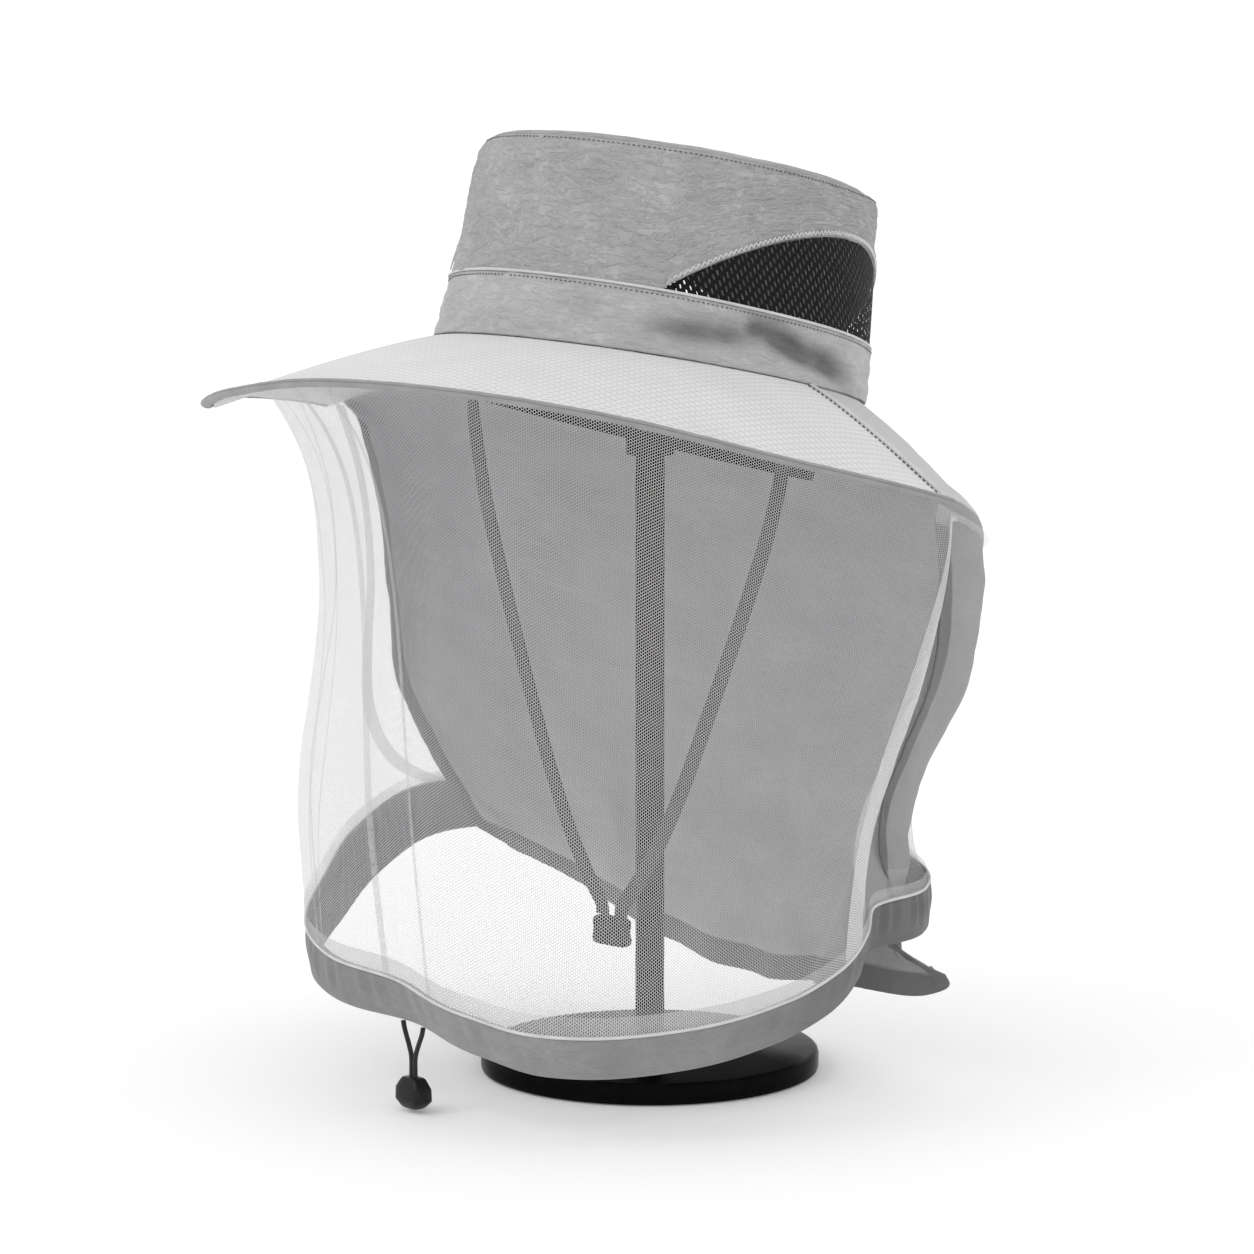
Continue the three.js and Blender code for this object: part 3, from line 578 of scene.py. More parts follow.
class Finish:
    """A material's node tree, with short calls for the nodes that the finishes share."""

    def __init__(self, name, roughness, sheen=0.0):
        self.material = bpy.data.materials.new(name)
        self.material.use_nodes = True
        self.tree = self.material.node_tree
        self.surface = self.tree.nodes["Principled BSDF"]
        self.surface.inputs["Roughness"].default_value = roughness
        self.surface.inputs["Sheen Weight"].default_value = sheen
        self.surface.inputs["Specular IOR Level"].default_value = 0.3
        self.places = self.tree.nodes.new("ShaderNodeTexCoord")

    def put(self, socket, value):
        if isinstance(value, bpy.types.NodeSocket):
            self.tree.links.new(value, socket)
        else:
            socket.default_value = value

    def math(self, operation, a, b=0.0, c=0.0):
        node = self.tree.nodes.new("ShaderNodeMath")
        node.operation = operation
        for socket, value in zip(node.inputs, (a, b, c)):
            self.put(socket, value)
        return node.outputs[0]

    def scaled(self, x, y, turn=0.0):
        """The cloth's own lengths, turned into counts per metre along each way."""
        node = self.tree.nodes.new("ShaderNodeMapping")
        self.tree.links.new(self.places.outputs["UV"], node.inputs["Vector"])
        node.inputs["Scale"].default_value = (x, y, 1)
        node.inputs["Rotation"].default_value = (0, 0, math.radians(turn))
        return node.outputs[0]

    def grain(self, vector, scale=1.0, detail=3.0, distortion=0.0):
        node = self.tree.nodes.new("ShaderNodeTexNoise")
        self.tree.links.new(vector, node.inputs["Vector"])
        node.inputs["Scale"].default_value = scale
        node.inputs["Detail"].default_value = detail
        node.inputs["Distortion"].default_value = distortion
        return node.outputs["Fac"]

    def split(self, vector):
        node = self.tree.nodes.new("ShaderNodeSeparateXYZ")
        self.tree.links.new(vector, node.inputs[0])
        return node.outputs["X"], node.outputs["Y"]

    def blend(self, share, dark, light):
        node = self.tree.nodes.new("ShaderNodeMix")
        node.data_type = "RGBA"
        self.put(node.inputs["Factor"], share)
        self.put(node.inputs["A"], dark if isinstance(dark, bpy.types.NodeSocket) else (*dark, 1))
        self.put(node.inputs["B"], light if isinstance(light, bpy.types.NodeSocket) else (*light, 1))
        return node.outputs["Result"]

    def between(self, value, low, high, to_low=0.0, to_high=1.0):
        node = self.tree.nodes.new("ShaderNodeMapRange")
        self.tree.links.new(value, node.inputs["Value"])
        for name, number in (("From Min", low), ("From Max", high), ("To Min", to_low), ("To Max", to_high)):
            node.inputs[name].default_value = number
        return node.outputs["Result"]

    def shades(self, value, low, high, dark, light):
        """Greys from dark to light as a value goes from low to high."""
        return self.blend(self.between(value, low, high), grey(dark), grey(light))

    def bump(self, height, distance, strength=1.0, over=None):
        node = self.tree.nodes.new("ShaderNodeBump")
        node.inputs["Strength"].default_value = strength
        node.inputs["Distance"].default_value = distance
        self.tree.links.new(height, node.inputs["Height"])
        if over is not None:
            self.tree.links.new(over, node.inputs["Normal"])
        return node.outputs["Normal"]

    def attribute(self, name):
        node = self.tree.nodes.new("ShaderNodeAttribute")
        node.attribute_name = name
        return node.outputs["Fac"]

    def color(self, value):
        self.put(self.surface.inputs["Base Color"], value)

    def normal(self, value):
        self.put(self.surface.inputs["Normal"], value)

    def see_through(self, share, tint):
        """Light that comes through the thin cloth from its other side."""
        shine = self.tree.nodes.new("ShaderNodeBsdfTranslucent")
        shine.inputs["Color"].default_value = (*tint, 1)
        self.mix(share, self.surface.outputs[0], shine.outputs[0])

    def cut_out(self, cover):
        """Nothing where the cover is zero, and what was made so far where it is one."""
        output = self.tree.nodes["Material Output"]
        so_far = output.inputs["Surface"].links[0].from_socket
        clear = self.tree.nodes.new("ShaderNodeBsdfTransparent")
        self.mix(cover, clear.outputs[0], so_far)

    def mix(self, share, none, full):
        both = self.tree.nodes.new("ShaderNodeMixShader")
        self.put(both.inputs[0], share)
        self.tree.links.new(none, both.inputs[1])
        self.tree.links.new(full, both.inputs[2])
        output = self.tree.nodes["Material Output"]
        self.tree.links.new(both.outputs[0], output.inputs["Surface"])


def grey(value, warm=0.0):
    return (value * (1 + warm), value, value * (1.015 - warm))


NYLON_THREADS = 2600


def weave_height(finish):
    """A plain weave: raised threads that go over and under each other."""
    x, y = finish.split(finish.scaled(NYLON_THREADS * math.pi, NYLON_THREADS * math.pi))
    over = finish.math("SINE", x)
    under = finish.math("SINE", y)
    return finish.math("MULTIPLY", over, under)


def nylon(name, tone, crease=0.0005, through=0.0, hem=None, with_painted_shade=False):
    """Thin crinkled nylon: fine crosswise creases, a plain weave and a soft sheen.

    hem is the tone of its hem, which lets no light through, and whose dark tone is painted shade. The part
    that one attribute marks gets painted light, as pale as the brim, and what another marks gets painted
    shade, darker.
    """
    made = Finish(name, 0.62, sheen=0.12)
    broad = made.grain(made.scaled(38, 52), detail=2)
    fine = made.grain(made.scaled(150, 400), detail=3, distortion=1.6)
    from_ridge = made.math("ABSOLUTE", made.math("SUBTRACT", fine, 0.5))
    fold = made.between(from_ridge, 0.0, 0.06, 1, 0)
    shade = made.shades(broad, 0.3, 0.7, tone * 0.86, tone * 1.1)
    # Painted shade and painted highlight of the crinkles: darker where the fine noise rises, lighter along
    # the crease lines
    shade = made.blend(made.between(fine, 0.4, 0.66, 0, 0.5), shade, grey(tone * 0.78))
    shade = made.blend(made.math("MULTIPLY", fold, 0.3), shade, grey(tone * 1.2))
    # Painted shade where the attribute marks it: in the band's valleys, and on sides of the flap and the
    # casing
    if with_painted_shade:
        shade = made.blend(made.attribute("dent_and_painted_shade"), shade, grey(tone * 0.33))
    if hem is not None:
        # Painted light on the flap's slope beside the brim, as pale as the brim
        shade = made.blend(made.attribute("slope_with_painted_light"), shade, grey(BRIM_TONE))
        # The hem's dark tone is painted shade
        shade = made.blend(made.attribute("hem"), shade, grey(hem))
        through = made.math("MULTIPLY_ADD", made.attribute("hem"), -through, through)
    made.color(shade)
    ridge = made.bump(weave_height(made), 0.00004, 0.5)
    ridge = made.bump(made.math("MULTIPLY_ADD", fold, 0.5, fine), crease, 0.9, ridge)
    made.normal(made.bump(broad, 0.0009, 0.5, ridge))
    if through != 0.0:
        made.see_through(through, grey(tone * 0.95))
    return made.material


DASH_PITCH = 0.0044
DASH_ROWS = 0.0026


def brim_weave():
    """A pale dobby weave: rows of short dashes, each row shifted by half a dash."""
    made = Finish("brim_weave", 0.72, sheen=0.1)
    x, y = made.split(made.scaled(1 / DASH_PITCH, 1 / DASH_ROWS))
    row = made.math("FLOOR", y)
    shift = made.math("MULTIPLY", row, 0.5)
    along = made.math("FRACT", made.math("ADD", x, shift))
    up = made.math("FRACT", y)
    inside = made.math("MULTIPLY", made.math("LESS_THAN", along, 0.6), made.math("LESS_THAN", up, 0.3))
    cloth = made.grain(made.scaled(900, 900), detail=2)
    broad = made.grain(made.scaled(24, 30), detail=2)
    shade = made.shades(broad, 0.3, 0.7, BRIM_TONE * 0.96, BRIM_TONE * 1.03)
    shade = made.blend(made.math("MULTIPLY", inside, 0.8), shade, grey(BRIM_TONE * 0.7))
    made.color(shade)
    ridge = made.bump(cloth, 0.00008, 0.5)
    made.normal(made.bump(made.math("SUBTRACT", 1.0, inside), 0.0004, 0.8, ridge))
    return made.material


def tape(name, tone, pitch):
    """Woven tape with ribs across it."""
    made = Finish(name, 0.7, sheen=0.1)
    x, y = made.split(made.scaled(1 / pitch, 1 / pitch))
    rib = made.math("SINE", made.math("MULTIPLY", x, 2 * math.pi))
    cross = made.math("SINE", made.math("MULTIPLY", y, 2 * math.pi))
    weave = made.math("MULTIPLY", rib, made.math("ADD", made.math("MULTIPLY", cross, 0.4), 0.6))
    worn = made.grain(made.scaled(70, 70), detail=3)
    shade = made.shades(worn, 0.3, 0.7, tone * 0.85, tone * 1.15)
    made.color(made.blend(made.between(weave, -1, 1, 0, 0.4), shade, grey(tone * 1.25)))
    made.normal(made.bump(weave, pitch * 0.25, 0.7))
    return made.material


NET_TURN = 27
NET_PITCH = 0.00095


def net_mesh(name, strand, tone, floor=0.0):
    """A fine net of six-sided holes: thin strands, and clear between them.

    floor is how much the cloth covers between the strands, as where it lies double.
    """
    made = Finish(name, 0.55, sheen=0.15)
    tall = math.sqrt(3)
    x, y = made.split(made.scaled(1 / NET_PITCH, 1 / NET_PITCH, NET_TURN))

    def cell(shift):
        gx = made.math("SUBTRACT", made.math("FRACT", made.math("ADD", x, shift)), 0.5)
        row = made.math("FRACT", made.math("ADD", made.math("DIVIDE", y, tall), shift))
        gy = made.math("MULTIPLY", made.math("SUBTRACT", row, 0.5), tall)
        return made.math("ABSOLUTE", gx), made.math("ABSOLUTE", gy)

    def side(gx, gy):
        slanted = made.math("ADD", made.math("MULTIPLY", gx, 0.5), made.math("MULTIPLY", gy, tall / 2))
        return made.math("MAXIMUM", gx, slanted)

    edge = made.math("MINIMUM", side(*cell(0.0)), side(*cell(0.5)))
    side_at = 0.5 - strand / NET_PITCH / 2
    line = made.between(edge, side_at - 0.02, side_at + 0.02)
    cover = made.math("MAXIMUM", line, floor)
    broad = made.grain(made.scaled(30, 12), detail=2)
    made.color(made.shades(broad, 0.3, 0.7, tone * 0.96, tone * 1.03))
    made.normal(made.bump(edge, 0.0001, 0.5))
    made.see_through(0.45, grey(tone))
    made.cut_out(cover)
    return made.material


HOLE_PITCH = 0.0024
HOLE_ROWS = 0.0038
HOLE_WIDE = 0.32
HOLE_TALL = 0.58
HOLE_SLANT = 0.45
KNIT_DARK = 0.004
KNIT_PALE = 0.011


def knit():
    """Black knitted mesh: slanting columns of tall oval holes, each column half a hole lower."""
    made = Finish("vent_knit", 0.7)
    made.surface.inputs["Specular IOR Level"].default_value = 0.12
    u, v = made.split(made.scaled(1 / HOLE_PITCH, 1 / HOLE_ROWS))
    x = made.math("MULTIPLY_ADD", v, HOLE_SLANT * HOLE_ROWS / HOLE_PITCH, u)
    shift = made.math("MULTIPLY", made.math("FLOOR", x), 0.5)
    y = made.math("ADD", v, shift)

    def off_centre(value, share):
        middle = made.math("SUBTRACT", made.math("FRACT", value), 0.5)
        return made.math("POWER", made.math("ABSOLUTE", made.math("DIVIDE", middle, share / 2)), 2.5)

    edge = made.math("ADD", off_centre(x, HOLE_WIDE), off_centre(y, HOLE_TALL))
    fine = made.grain(made.scaled(1400, 700), detail=2)
    made.color(made.shades(fine, 0.35, 0.7, KNIT_DARK, KNIT_PALE))
    made.normal(made.bump(made.between(edge, 0.9, 2.2), 0.0004, 0.7))
    made.cut_out(made.between(edge, 0.9, 1.1))
    return made.material


PLASTIC_GRAIN = 160


def plastic(name, tone, roughness, shine):
    """Moulded plastic or lacquer: almost smooth, with faint unevenness in its gloss."""
    made = Finish(name, roughness)
    made.surface.inputs["Specular IOR Level"].default_value = shine
    cloudy = made.grain(made.places.outputs["Object"], PLASTIC_GRAIN)
    made.color(made.blend(made.between(cloudy, 0.3, 0.7), grey(tone * 0.85, 0.06), grey(tone * 1.2, 0.1)))
    made.put(
        made.surface.inputs["Roughness"], made.between(cloudy, 0.3, 0.7, roughness * 0.8, roughness * 1.3)
    )
    made.normal(made.bump(cloudy, 0.00004, 0.3))
    return made.material


CROWN_TONE = 0.51
BAND_TONE = 0.51
BRIM_TONE = 0.7
FLAP_TONE = 0.55
# The flap hem's dark tone is painted shade; the hem itself is a real doubled band
HEM_PAINTED_SHADE_TONE = 0.14
CASING_TONE = 0.27
BINDING_TONE = 0.3
NET_TONE = 0.82
CORD_TONE = 0.02

crown_nylon = nylon("crown_nylon", CROWN_TONE, through=0.25)
band_nylon = nylon("band_nylon", BAND_TONE, crease=0.0003, through=0.1, with_painted_shade=True)
flap_nylon = nylon("flap_nylon", FLAP_TONE, crease=0.0002, through=0.25, hem=HEM_PAINTED_SHADE_TONE, with_painted_shade=True)
casing_nylon = nylon("casing_nylon", CASING_TONE, crease=0.0002, with_painted_shade=True)
brim_cloth = brim_weave()
binding_tape = tape("binding_tape", BINDING_TONE, 0.0009)
strap_tape = tape("strap_tape", CORD_TONE * 1.6, 0.0008)
cord_braid = tape("cord_braid", CORD_TONE, 0.0009)
net_single = net_mesh("net_single", 0.00018, NET_TONE)
net_seam = net_mesh("net_seam", 0.00024, NET_TONE, 0.4)
net_double = net_mesh("net_double", 0.00022, NET_TONE * 0.85, 0.15)
vent_knit = knit()
# Pale thread, also used as a painted highlight on the band seam's fold
pale_thread_and_highlight = tape("pale_thread_and_highlight", 0.62, 0.0004)
dark_thread = tape("dark_thread", 0.12, 0.0004)
black_plastic = plastic("black_plastic", 0.009, 0.25, 0.2)
dark_lacquer = plastic("dark_lacquer", 0.004, 0.2, 0.02)


# Crown

EDGE_ROUND = 0.007
TIP_ROLL = 0.0016
CLOTH_THICK = 0.0011
TOP_STITCH_DOWN = 0.0016
BAND_STITCH_DOWN = 0.0019
CROWN_STITCH = 0.0021
STITCH_LIFT = 0.0002
CREASE_BROAD = 0.0012
CREASE_FINE = 0.0005

# Creases of the crown's side and its band: the noise's place, and its share
SIDE_CREASE = (3.1, 1)
BAND_CREASE = (7.7, 0.7)


def edge_inset(height):
    """How far the crown's side has turned in near its top edge."""
    over = np.maximum(np.asarray(height) - (CROWN_HEIGHT - EDGE_ROUND), 0) / EDGE_ROUND
    return EDGE_ROUND * 0.5 * (1 - np.sqrt(np.maximum(1 - over**2, 0)))


def crown_cloth(angle, height, seed, amount):
    """The crown's side with its creases, in the hat's own frame."""
    across = np.radians(angle) * CROWN_LENGTH / 2
    soft = rough(across, height + 0 * angle, 0.03, 0.012, seed, 3)
    fine = rough(across, height + 0 * angle, 0.011, 0.0035, seed + 5, 3)
    crease = amount * (CREASE_BROAD * soft + CREASE_FINE * fine)
    return crown_point(angle, height, edge_inset(height) - crease)


def crown():
    angles = np.linspace(0, 360, 480, endpoint=False)[:, None]
    low = seam_at(angles) + arch_at(angles)
    side_share = np.linspace(0, 1, 64)[None]
    side = crown_cloth(angles, low + (CROWN_HEIGHT - low) * side_share, *SIDE_CREASE)
    sheet_of(
        "crown_side_cloth", turned_to_row(side), crown_nylon, ["crown_side"],
        closed=True, thick=CLOTH_THICK,
    )
    band_share = np.linspace(0, 1, 34)[None]
    band = turned_to_row(band_cloth(angles, band_share))
    made = sheet_of(
        "crown_band_cloth", band, band_nylon, ["crown_band"],
        closed=True, thick=CLOTH_THICK,
    )
    # Painted shade in the band's valleys, darker as they deepen
    mark(made, "dent_and_painted_shade", np.clip(dented(angles, band_share) / DENT_FULL_PAINTED_SHADE, 0, 1) ** 1.3)
    share = np.linspace(0.004, 1, 60)[None]
    rim = crown_point(angles, CROWN_HEIGHT + 0 * angles, edge_inset(CROWN_HEIGHT) - 0.0002)
    roll = TIP_ROLL * np.clip((share - 0.94) / 0.06, 0, 1) ** 2
    crease = 0.0006 * rough(rim[..., 0] * share, rim[..., 1] * share, 0.028, 0.016, 11.3)
    puff = TIP_DOME * (1 - share**4) + crease * (1 - share**8)
    height = CROWN_HEIGHT + CROWN_WALL + puff - roll
    tip = np.stack([rim[..., 0] * share, rim[..., 1] * share, height], -1)
    sheet_of(
        "crown_tip_cloth", turned_to_row(tip), crown_nylon, ["crown_tip"],
        closed=True, up=True, thick=CLOTH_THICK,
    )


def crown_outward(angle):
    turn = np.radians(angle)
    return point(np.sin(turn), -np.cos(turn), 0 * turn)


# Soft valleys pressed into the band: the angles where they start and end, their shares of the
# band's height there, and how deep they are, which also sets how dark their painted shade is
BAND_DENTS = table(
    "from to low high deep",
    (40, 74, 0.4, 0.6, 0.0034),
    (66, 112, 0.8, 0.2, 0.005),
    (14, 30, 0.7, 0.5, 0.0012),
    (150, 176, 0.7, 0.3, 0.002),
    (230, 262, 0.3, 0.7, 0.0022),
)
DENT_TALL = 0.24
# How deep a valley is where its painted shade is darkest
DENT_FULL_PAINTED_SHADE = 0.0038


def dented(angle, share):
    """How deep the band's valleys are at an angle and a share of its height."""
    deep = np.zeros(np.broadcast(angle, share).shape)
    for row in BAND_DENTS:
        along = (angle - row["from"]) / (row["to"] - row["from"])
        inside = np.clip(along, -0.2, 1.2)
        middle = row["low"] + (row["high"] - row["low"]) * inside
        ends = np.clip(1 - np.abs(2 * along - 1) ** 3, 0, 1)
        deep += row["deep"] * ends * np.exp(-(((share - middle) / DENT_TALL) ** 2))
    across = np.radians(angle) * CROWN_LENGTH / 2
    return deep * np.clip(1 + 0.35 * rough(across, share * BAND_TALL, 0.02, 0.012, 17.0, 2), 0, 1.3)


def band_cloth(angle, share):
    """The band with its creases and valleys at a share of its height, in the hat's own frame."""
    cloth = crown_cloth(angle, (seam_at(angle) - SEAM_GAP) * share, *BAND_CREASE)
    return cloth - dented(angle, share)[..., None] * crown_outward(angle)


VENT_EDGE = 0.9
ZIGZAG_STEP = 0.7
ZIGZAG_LOW = 0.0006
ZIGZAG_HIGH = 0.0027
ZIGZAG_WIDE = 0.0007


def vent(side, name):
    """A vent's knitted mesh, edged with a zigzag of pale thread."""
    around = np.linspace(VENT_FROM + VENT_EDGE, VENT_TO - VENT_EDGE, 220)[:, None]
    seam = seam_at(around)
    height = seam + (arch_at(around) - 0.0004) * np.linspace(0, 1, 30)[None]
    grid = turned_to_row(crown_point(side * around, height, 0.0003))
    across = np.radians(around) * CROWN_LENGTH / 2 + 0 * height
    sheet_of(
        name, grid, vent_knit, [name.replace("_knit", "")],
        flat_uv=np.stack([across, height], -1),
    )
    arch = np.arange(VENT_FROM + 1, VENT_TO - 1, ZIGZAG_STEP)
    line = arch_line(side * arch, ZIGZAG_LOW)
    upper = arch_line(side * arch, ZIGZAG_HIGH)
    out = hat_outward(side * arch)
    zig = np.where((np.arange(len(arch)) % 2 == 0)[:, None], line, upper)
    threads(
        name.replace("knit", "zigzag"), zig[:-1], zig[1:], out[:-1], ZIGZAG_WIDE, pale_thread_and_highlight
    )


def arch_line(angle, over):
    """A line over a vent's arch, on the crown's cloth."""
    height = seam_at(angle) + arch_at(angle) + over
    return turned_to_row(crown_point(angle, height, -0.0004))


def hat_outward(angle):
    return aimed_in_row(crown_outward(angle))


def crown_stitches():
    """The dashed lines along the crown's top edge and its band's seam."""
    angles = np.linspace(0, 360, 720)
    out = hat_outward(angles)
    outward = crown_outward(angles)
    upper = crown_cloth(angles, CROWN_HEIGHT - TOP_STITCH_DOWN + 0 * angles, *SIDE_CREASE)
    lower = band_cloth(angles, (seam_at(angles) - BAND_STITCH_DOWN) / (seam_at(angles) - SEAM_GAP))
    for name, line, wide in (("top_stitches", upper, 0.0006), ("band_stitches", lower, 0.0005)):
        line = turned_to_row(line + STITCH_LIFT * outward)
        starts, ends, beside = dashes(line, out, CROWN_STITCH, 0.6)
        threads(name, starts, ends, beside, wide, dark_thread)
    # A pale fold along the band's seam: a real edge, whose pale colour is a painted highlight
    section = ring_section(0.0005, 0.0006, 8)
    height = seam_at(angles[:-1]) + 0.0001
    line = turned_to_row(crown_point(angles[:-1], height, -0.0003))
    rings = tube_along(line, out[:-1], section)
    sheet_of("band_fold_painted_highlight", rings, pale_thread_and_highlight, closed=True, tube=True)


def ring_section(wide, tall, count):
    turn = np.linspace(0, 2 * np.pi, count, endpoint=False)
    return np.stack([np.cos(turn) * wide, np.sin(turn) * tall], -1)


# Brim

WEAVE_TURN = 44
BRIM_WAVE = 0.0007
SEAM_INSET = 0.003


def brim_seam(name, angle):
    """The joint of brim and flap: a pale fold with a row of dark stitches beside it."""
    share = np.linspace(0.02, 1, 60)
    line = slope_point(np.full(60, float(angle)), share)
    fold = line + np.array([0, 0, 0.0004])
    beside = line + np.array([0, -SEAM_INSET, 0.0003])
    side = np.tile([0.0, 1.0, 0.0], (60, 1))
    up = aimed_in_row(np.array([[0, 0, 1.0]]))
    rings = tube_along(turned_to_row(fold), side, ring_section(0.0011, 0.0007, 10))
    capped(f"{name}_fold", rings, pale_thread_and_highlight)
    starts, ends, out = dashes(turned_to_row(beside), np.tile(up, (60, 1)), 0.0026, 0.7)
    threads(f"{name}_stitches", starts, ends, out, 0.0009, dark_thread)


def brim():
    angles = np.linspace(-SEAM_RIGHT, SEAM_LEFT, 360)[:, None]
    share = np.linspace(0, 1, 56)[None]
    top = slope_point(angles + 0 * share, share + 0 * angles)
    across = np.radians(angles) * BRIM_SIDE
    wave = BRIM_WAVE * rough(across, share * 0.08, 0.045, 0.04, 21.0, 2)
    top[..., 2] += wave * share**2
    grid = turned_to_row(top)
    turn = math.radians(WEAVE_TURN)
    along = top[..., 0] * math.cos(turn) + top[..., 1] * math.sin(turn)
    over = top[..., 1] * math.cos(turn) - top[..., 0] * math.sin(turn)
    made = sheet_of(
        "brim_cloth", grid, brim_cloth, ["brim"], up=True, thick=BRIM_WALL,
        flat_uv=np.stack([along, over], -1),
    )
    made.modifiers["thickness"].use_even_offset = True
    bound_angles = np.linspace(-SEAM_RIGHT, SEAM_LEFT, 420)
    whole = np.ones_like(bound_angles)
    middle = slope_point(bound_angles, whole, BINDING_OUT)
    middle[:, 2] -= BRIM_WALL / 2
    line = turned_to_row(middle)
    outward = aimed_in_row(slope_point(bound_angles, whole, 0.0044) - slope_point(bound_angles, whole))
    section = ring_section(BINDING_WIDE / 2, BINDING_WALL / 2, 20)
    ripple = 1 + 0.06 * rough(np.radians(bound_angles) * BRIM_SIDE, 0 * bound_angles, 0.006, 1, 4.0)
    rings = tube_along(line, outward, section)
    rings = line[:, None] + (rings - line[:, None]) * ripple[:, None, None]
    capped("binding_cloth", rings, binding_tape, ["brim_binding"])
    brim_seam("left_seam", SEAM_LEFT)
    brim_seam("right_seam", -SEAM_RIGHT)


# Neck flap

SLOPE_SHARES = [0, 0.35, 0.7, 0.92]
HANG_SHARES = [0.03, 0.1, 0.2, 0.31, 0.42, 0.53, 0.63, 0.73, 0.82, 0.9, 0.95, 1]
HEM_WIDE = 0.011
FLAP_FINER = 9
FLAP_THICK = 0.0009
FLAP_CREASE = 0.0009
FLAP_CRINKLE = 0.0003


def flap_columns(along):
    """The flap from the crown's edge, over its slope and down to its hem, in a few columns."""
    angle = SEAM_LEFT + SEAM_SLACK + (360 - SEAM_RIGHT - SEAM_LEFT - 2 * SEAM_SLACK) * along
    slope_with_painted_light = [turned_to_row(slope_point(angle, share + 0 * angle)) for share in SLOPE_SHARES]
    shoulder = hang_point(angle)
    start = azimuth_of(shoulder) % 360
    low = HAT_HEIGHT - FLAP_DROP * between(HEMS, "along", "drop", along)
    edge = np.abs(2 * along - 1) ** 3
    fold = waved(FLAP_WAVES, along)
    sweep = NEAR_SWEEP + (FAR_SWEEP - NEAR_SWEEP) * along
    hang = []
    for share in HANG_SHARES:
        azimuth = start + (between(HEMS, "along", "azimuth", along) - start) * share**sweep
        height = shoulder[:, 2] + (low - shoulder[:, 2]) * share
        drawn = 1 - (1 - share**2) ** 1.5
        hem = FLAP_SIDE * between(HEMS, "along", "reach", along)
        own = reach_of(shoulder) + (hem - reach_of(shoulder)) * drawn
        own = own + FLAP_FOLD * share * (1 - edge) * fold
        reach = np.minimum(own, flap_limit(azimuth, height))
        hang.append(from_axis(azimuth, reach, height))
    return np.stack(slope_with_painted_light + hang, 1)


def neck_flap():
    grid = refined(refined(flap_columns(np.linspace(0, 1, 37)), FLAP_FINER, 0), FLAP_FINER, 1)
    u = arc(grid, 0)[:, None]
    v = arc(grid, 1)[None]
    crease = FLAP_CREASE * rough(u, v, 0.05, 0.03, 31.0, 3)
    crease = crease + FLAP_CRINKLE * rough(u, v, 0.014, 0.009, 37.0, 2)
    free = np.clip(v / 0.06, 0, 1)
    grid = grid + normals_of(grid) * (crease * free)[..., None]
    made = sheet_of("flap_cloth", grid, flap_nylon, ["neck_flap"], thick=FLAP_THICK)
    down = lengths(grid, 1)
    from_foot = down[:, -1:] - down
    across = lengths(grid, 0)
    from_side = np.minimum(across, across[-1:] - across)
    first = len(SLOPE_SHARES) * FLAP_FINER
    hangs = down > down[:, first, None]
    near = np.minimum(from_foot, np.where(hangs, from_side, 1.0))
    hem = np.clip((HEM_WIDE - near) / 0.0008 + 0.5, 0, 1)
    upper = np.where(np.arange(grid.shape[1]) <= first - FLAP_FINER, 1.0, 0.0) + 0 * hem
    # Painted shade on the flap's hanging cloth beside the left seam, and painted light, as pale as the brim,
    # on its slope there
    beside_brim = np.clip((0.3 - np.linspace(0, 1, len(grid))) / 0.05, 0, 1)
    mark(made, "hem", hem)
    mark(made, "dent_and_painted_shade", 0.45 * beside_brim[:, None] * (1 - upper))
    mark(made, "slope_with_painted_light", upper * beside_brim[:, None])


# Insect net and its casing

NET_CLOSE = 0.0072
UNDER_FROM = 89
UNDER_TO = 138
NET_RUFFLE = 0.0007
NET_SWELL = 0.0022
NET_HEM = 0.965
STRIP_OVER = 0.0009


def under_flap(azimuth):
    """1 where the flap's near side lies over the net, and 0 elsewhere."""
    return np.clip((azimuth - UNDER_FROM) / 4, 0, 1) * np.clip((UNDER_TO - azimuth) / 1.5, 0, 1)


def net_close(azimuth, share):
    """How far in the net is drawn where the flap's near side lies over it."""
    ends = np.clip(40 * share, 0, 1) * np.clip(8 * (1 - share), 0, 1)
    return NET_CLOSE * under_flap(azimuth) * ends


# Doubled strips in the net: the azimuth at the top, how far it turns on its way down and how
# suddenly, and the strip's width and cloth
STRIPS = table(
    "name at turn sudden wide cloth",
    ("near", 91, -9, 1.3, 0.013, net_seam),
    ("far", -80, -22, 6, 0.01, net_seam),
    ("fold_one", -38, 5, 1, 0.0016, net_double),
    ("fold_two", -27, -4, 1.5, 0.0012, net_double),
    ("fold_three", -62, 6, 1, 0.002, net_double),
    ("fold_four", -19, 9, 1.8, 0.004, net_double),
    ("fold_five", -11, 14, 1.4, 0.0022, net_double),
)


def net_strip(row):
    down = np.linspace(0.01, 0.99, 120)[None]
    middle = row["at"] + row["turn"] * down ** row["sudden"]
    wide = np.linspace(-row["wide"] / 2, row["wide"] / 2, 8)[:, None]
    azimuth = middle + np.degrees(wide / net_reach(middle, down))
    strip = net_point(azimuth, down, STRIP_OVER - net_close(azimuth, down))
    return sheet_of(f"net_{row['name']}_strip", strip, row["cloth"])


def gathers(turn, sway, sways, start):
    """Uneven gathers round the net, from -1 to 1."""
    return np.sin(61 * turn + sway * np.sin(sways * turn)) * 0.6 + np.sin(97 * turn + start) * 0.4


